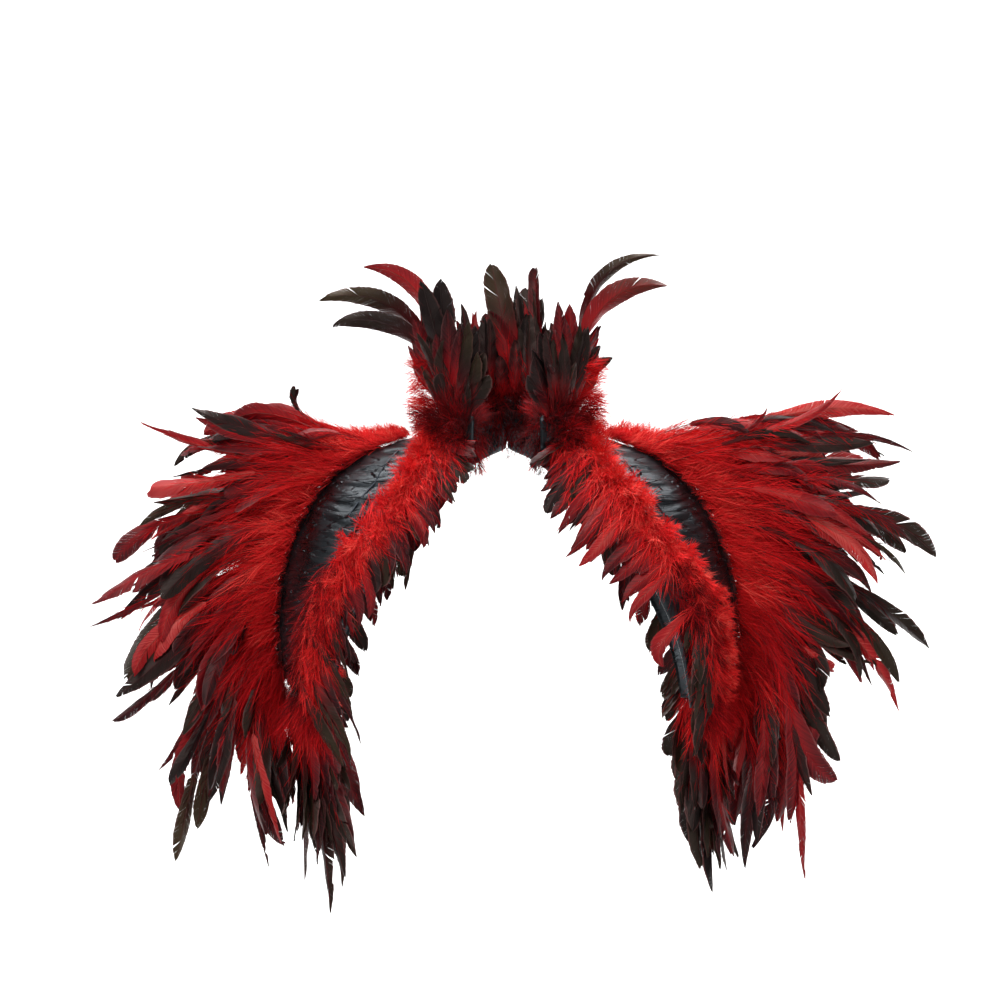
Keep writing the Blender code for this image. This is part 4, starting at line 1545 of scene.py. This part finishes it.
def black_satin(name, lit, shaded, tucks):
    """Black polyester satin: long floats of smooth thread give a soft grey-blue sheen.

    Its threads are about 0.12 mm wide; the ribs that they make are drawn at 0.9 mm to show.
    tucks is the height in metres of the small crosswise creases that gathering leaves.
    """
    material, tree, shader = new_material(
        name, Roughness=0.32, IOR=1.5, Specular_IOR_Level=0.56
    )
    shader.inputs["Specular Tint"].default_value = linear("#D6E2EC")
    weft, warp, drop = (
        add(tree, "ShaderNodeAttribute", attribute_name=name).outputs["Fac"]
        for name in ("weft", "warp", "drop")
    )
    # A crease is about 25 mm long across the strip and comes every 5 to 9 mm
    wide = add(tree, "ShaderNodeMath", {0: weft, 1: 0.04}, operation="MULTIPLY").outputs[0]
    slow = add(tree, "ShaderNodeMath", {0: drop, 1: 0.17}, operation="MULTIPLY").outputs[0]
    place = add(tree, "ShaderNodeCombineXYZ", {"X": wide, "Y": slow}).outputs[0]
    crease = add(
        tree,
        "ShaderNodeTexNoise",
        {"Vector": place, "Scale": 1.0, "Detail": 1.5, "Distortion": 0.4},
    ).outputs["Fac"]
    fold = add(
        tree,
        "ShaderNodeMapRange",
        {"Value": crease, 1: 0.46, 2: 0.52, 3: 0.0, 4: 1.0},
        interpolation_type="SMOOTHSTEP",
    ).outputs[0]
    object_place = add(tree, "ShaderNodeTexCoord").outputs["Object"]
    cloudy = add(
        tree, "ShaderNodeTexNoise", {"Vector": object_place, "Scale": 34.0, "Detail": 4.0}
    ).outputs["Fac"]
    colour = add(
        tree,
        "ShaderNodeValToRGB",
        {"Fac": cloudy},
        stops=((0.3, shaded), (0.7, lit)),
    ).outputs["Color"]
    tree.links.new(colour, shader.inputs["Base Color"])
    uneven = add(
        tree, "ShaderNodeMapRange", {"Value": cloudy, 1: 0.3, 2: 0.7, 3: 0.24, 4: 0.40}
    ).outputs[0]
    tree.links.new(uneven, shader.inputs["Roughness"])
    ribs = add(tree, "ShaderNodeMath", {0: warp, 1: 7.0}, operation="MULTIPLY").outputs[0]
    ribs = add(tree, "ShaderNodeMath", {0: ribs}, operation="SINE").outputs[0]
    relief = add(
        tree, "ShaderNodeMath", {0: ribs, 1: 0.02, 2: fold}, operation="MULTIPLY_ADD"
    ).outputs[0]
    bump = add(tree, "ShaderNodeBump", {"Strength": 0.9, "Distance": tucks, "Height": relief})
    tree.links.new(bump.outputs[0], shader.inputs["Normal"])
    return material


def woven_tape():
    """The cotton tape under the feathers: plain woven and dyed with them, dull."""
    material, tree, shader = new_material("cotton_tape", Roughness=0.85, Sheen_Weight=0.2)
    place = add(tree, "ShaderNodeTexCoord").outputs["Object"]
    # A thread of such tape is about 0.3 mm, too fine to show; the ribs are drawn 5 mm apart
    weave = add(
        tree, "ShaderNodeTexWave", {"Vector": place, "Scale": 62.0, "Distortion": 1.0}
    ).outputs["Fac"]
    colour = add(
        tree,
        "ShaderNodeValToRGB",
        {"Fac": weave},
        stops=((0.0, "#2E070A"), (1.0, "#560C11")),
    ).outputs["Color"]
    tree.links.new(colour, shader.inputs["Base Color"])
    bump = add(tree, "ShaderNodeBump", {"Strength": 0.4, "Distance": 0.3 * MM, "Height": weave})
    tree.links.new(bump.outputs[0], shader.inputs["Normal"])
    return material


def plain(name, colour, roughness):
    """A plain surface of the studio."""
    material, _, shader = new_material(name, Roughness=roughness)
    shader.inputs["Base Color"].default_value = linear(colour)
    return material


def dress_cape():
    finishes = {
        "feather": dyed_feather(),
        "down": red_down(),
        "satin": black_satin("black_satin", "#0B0C0F", "#060708", 0.4 * MM),
        "pleated": black_satin("gathered_black_satin", "#15181B", "#08090A", 3.0 * MM),
        # The hem line is black satin coloured grey-blue: a painted sheen where its rolled edge catches
        # the light
        "edging": black_satin("satin_edging_painted_sheen", "#3A424B", "#20252B", 0.3 * MM),
        "tape": woven_tape(),
    }
    for side_name in SIDES:
        add_panels(side_name, finishes["satin"])
        add_bands(side_name, finishes)
        add_wings(side_name, finishes)
        add_edges(side_name, finishes)
        add_hems(side_name, finishes)
    add_stand(finishes["satin"])
    add_collar(finishes)


# Studio, in metres
CAMERA_PLACE = (0.0, -2.4, -0.060)
CAMERA_LENS = 86.4
CAMERA_SENSOR = 36.0
CAMERA_SHIFT = -0.0065
FLOOR_HEIGHT = -1.35
FLOOR_FRONT = -4.0
FLOOR_HALF = 5.0
WALL_DISTANCE = 3.0
WALL_TOP = 3.5
WALL_CURVE = 1.0  # the radius with which the floor turns up
WORLD_STRENGTH = 0.2


class Light(NamedTuple):
    """A soft light: where it hangs, what it points at, its width and height, and its watts."""

    place: tuple
    target: tuple
    size: tuple
    power: float


LIGHTS = {
    "key": Light((-1.1, -1.9, 1.5), (0, 0, -0.1), (1.2, 1.0), 44),
    "fill": Light((1.6, -1.8, 0.3), (0, 0, -0.1), (1.2, 1.2), 12),
    "top": Light((0.0, 0.3, 1.7), (0, 0, 0), (1.6, 0.8), 66),
    "wall_left": Light((-2.2, 1.4, 0.4), (-0.4, 3.0, 0.0), (1.0, 1.8), 90),
    "wall_right": Light((2.2, 1.4, 0.4), (0.4, 3.0, 0.0), (1.0, 1.8), 90),
}


def set_floor():
    """A pale floor that turns up into a wall in one curve."""
    profile = [(FLOOR_FRONT, FLOOR_HEIGHT)]
    for turn in np.linspace(0, math.pi / 2, 13):
        across = WALL_DISTANCE - WALL_CURVE + WALL_CURVE * math.sin(turn)
        profile.append((across, FLOOR_HEIGHT + WALL_CURVE - WALL_CURVE * math.cos(turn)))
    profile.append((WALL_DISTANCE, WALL_TOP))
    points = np.array([[(x, y, z) for x in (-FLOOR_HALF, FLOOR_HALF)] for y, z in profile])
    mesh = bpy.data.meshes.new("floor")
    faces = grid_faces(len(profile), 2)
    mesh.from_pydata(points.reshape(-1, 3).tolist(), [], faces.tolist())
    mesh.shade_smooth()
    mesh.materials.append(plain("white_paper", "#F7F7F7", 0.9))
    floor = bpy.data.objects.new("floor", mesh)
    bpy.context.scene.collection.objects.link(floor)


def add_lights():
    for name, light in LIGHTS.items():
        lamp = bpy.data.lights.new(name, "AREA")
        lamp.shape = "RECTANGLE"
        lamp.size, lamp.size_y = light.size
        lamp.energy = light.power
        hung = bpy.data.objects.new(name, lamp)
        hung.location = light.place
        way = Vector(light.target) - Vector(light.place)
        hung.rotation_euler = way.to_track_quat("-Z", "Y").to_euler()
        bpy.context.scene.collection.objects.link(hung)
    world = bpy.data.worlds.new("studio")
    world.use_nodes = True
    background = world.node_tree.nodes["Background"]
    background.inputs["Color"].default_value = linear("#FFFFFF")
    background.inputs["Strength"].default_value = WORLD_STRENGTH
    bpy.context.scene.world = world


def set_camera():
    lens = bpy.data.cameras.new("camera")
    lens.lens = CAMERA_LENS
    lens.sensor_width = CAMERA_SENSOR
    lens.shift_x = CAMERA_SHIFT
    camera = bpy.data.objects.new("camera", lens)
    camera.location = CAMERA_PLACE
    camera.rotation_euler = (math.pi / 2, 0, 0)
    scene = bpy.context.scene
    scene.collection.objects.link(camera)
    scene.camera = camera
    scene.view_settings.view_transform = "Standard"


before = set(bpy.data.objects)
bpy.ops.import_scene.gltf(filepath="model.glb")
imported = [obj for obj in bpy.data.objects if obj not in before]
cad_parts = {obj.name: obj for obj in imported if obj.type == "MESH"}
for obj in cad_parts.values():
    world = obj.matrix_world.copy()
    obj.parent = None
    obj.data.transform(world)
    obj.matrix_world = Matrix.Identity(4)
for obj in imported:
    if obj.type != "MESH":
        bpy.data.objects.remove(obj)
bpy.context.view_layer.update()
set_floor()
add_lights()
set_camera()
dress_cape()
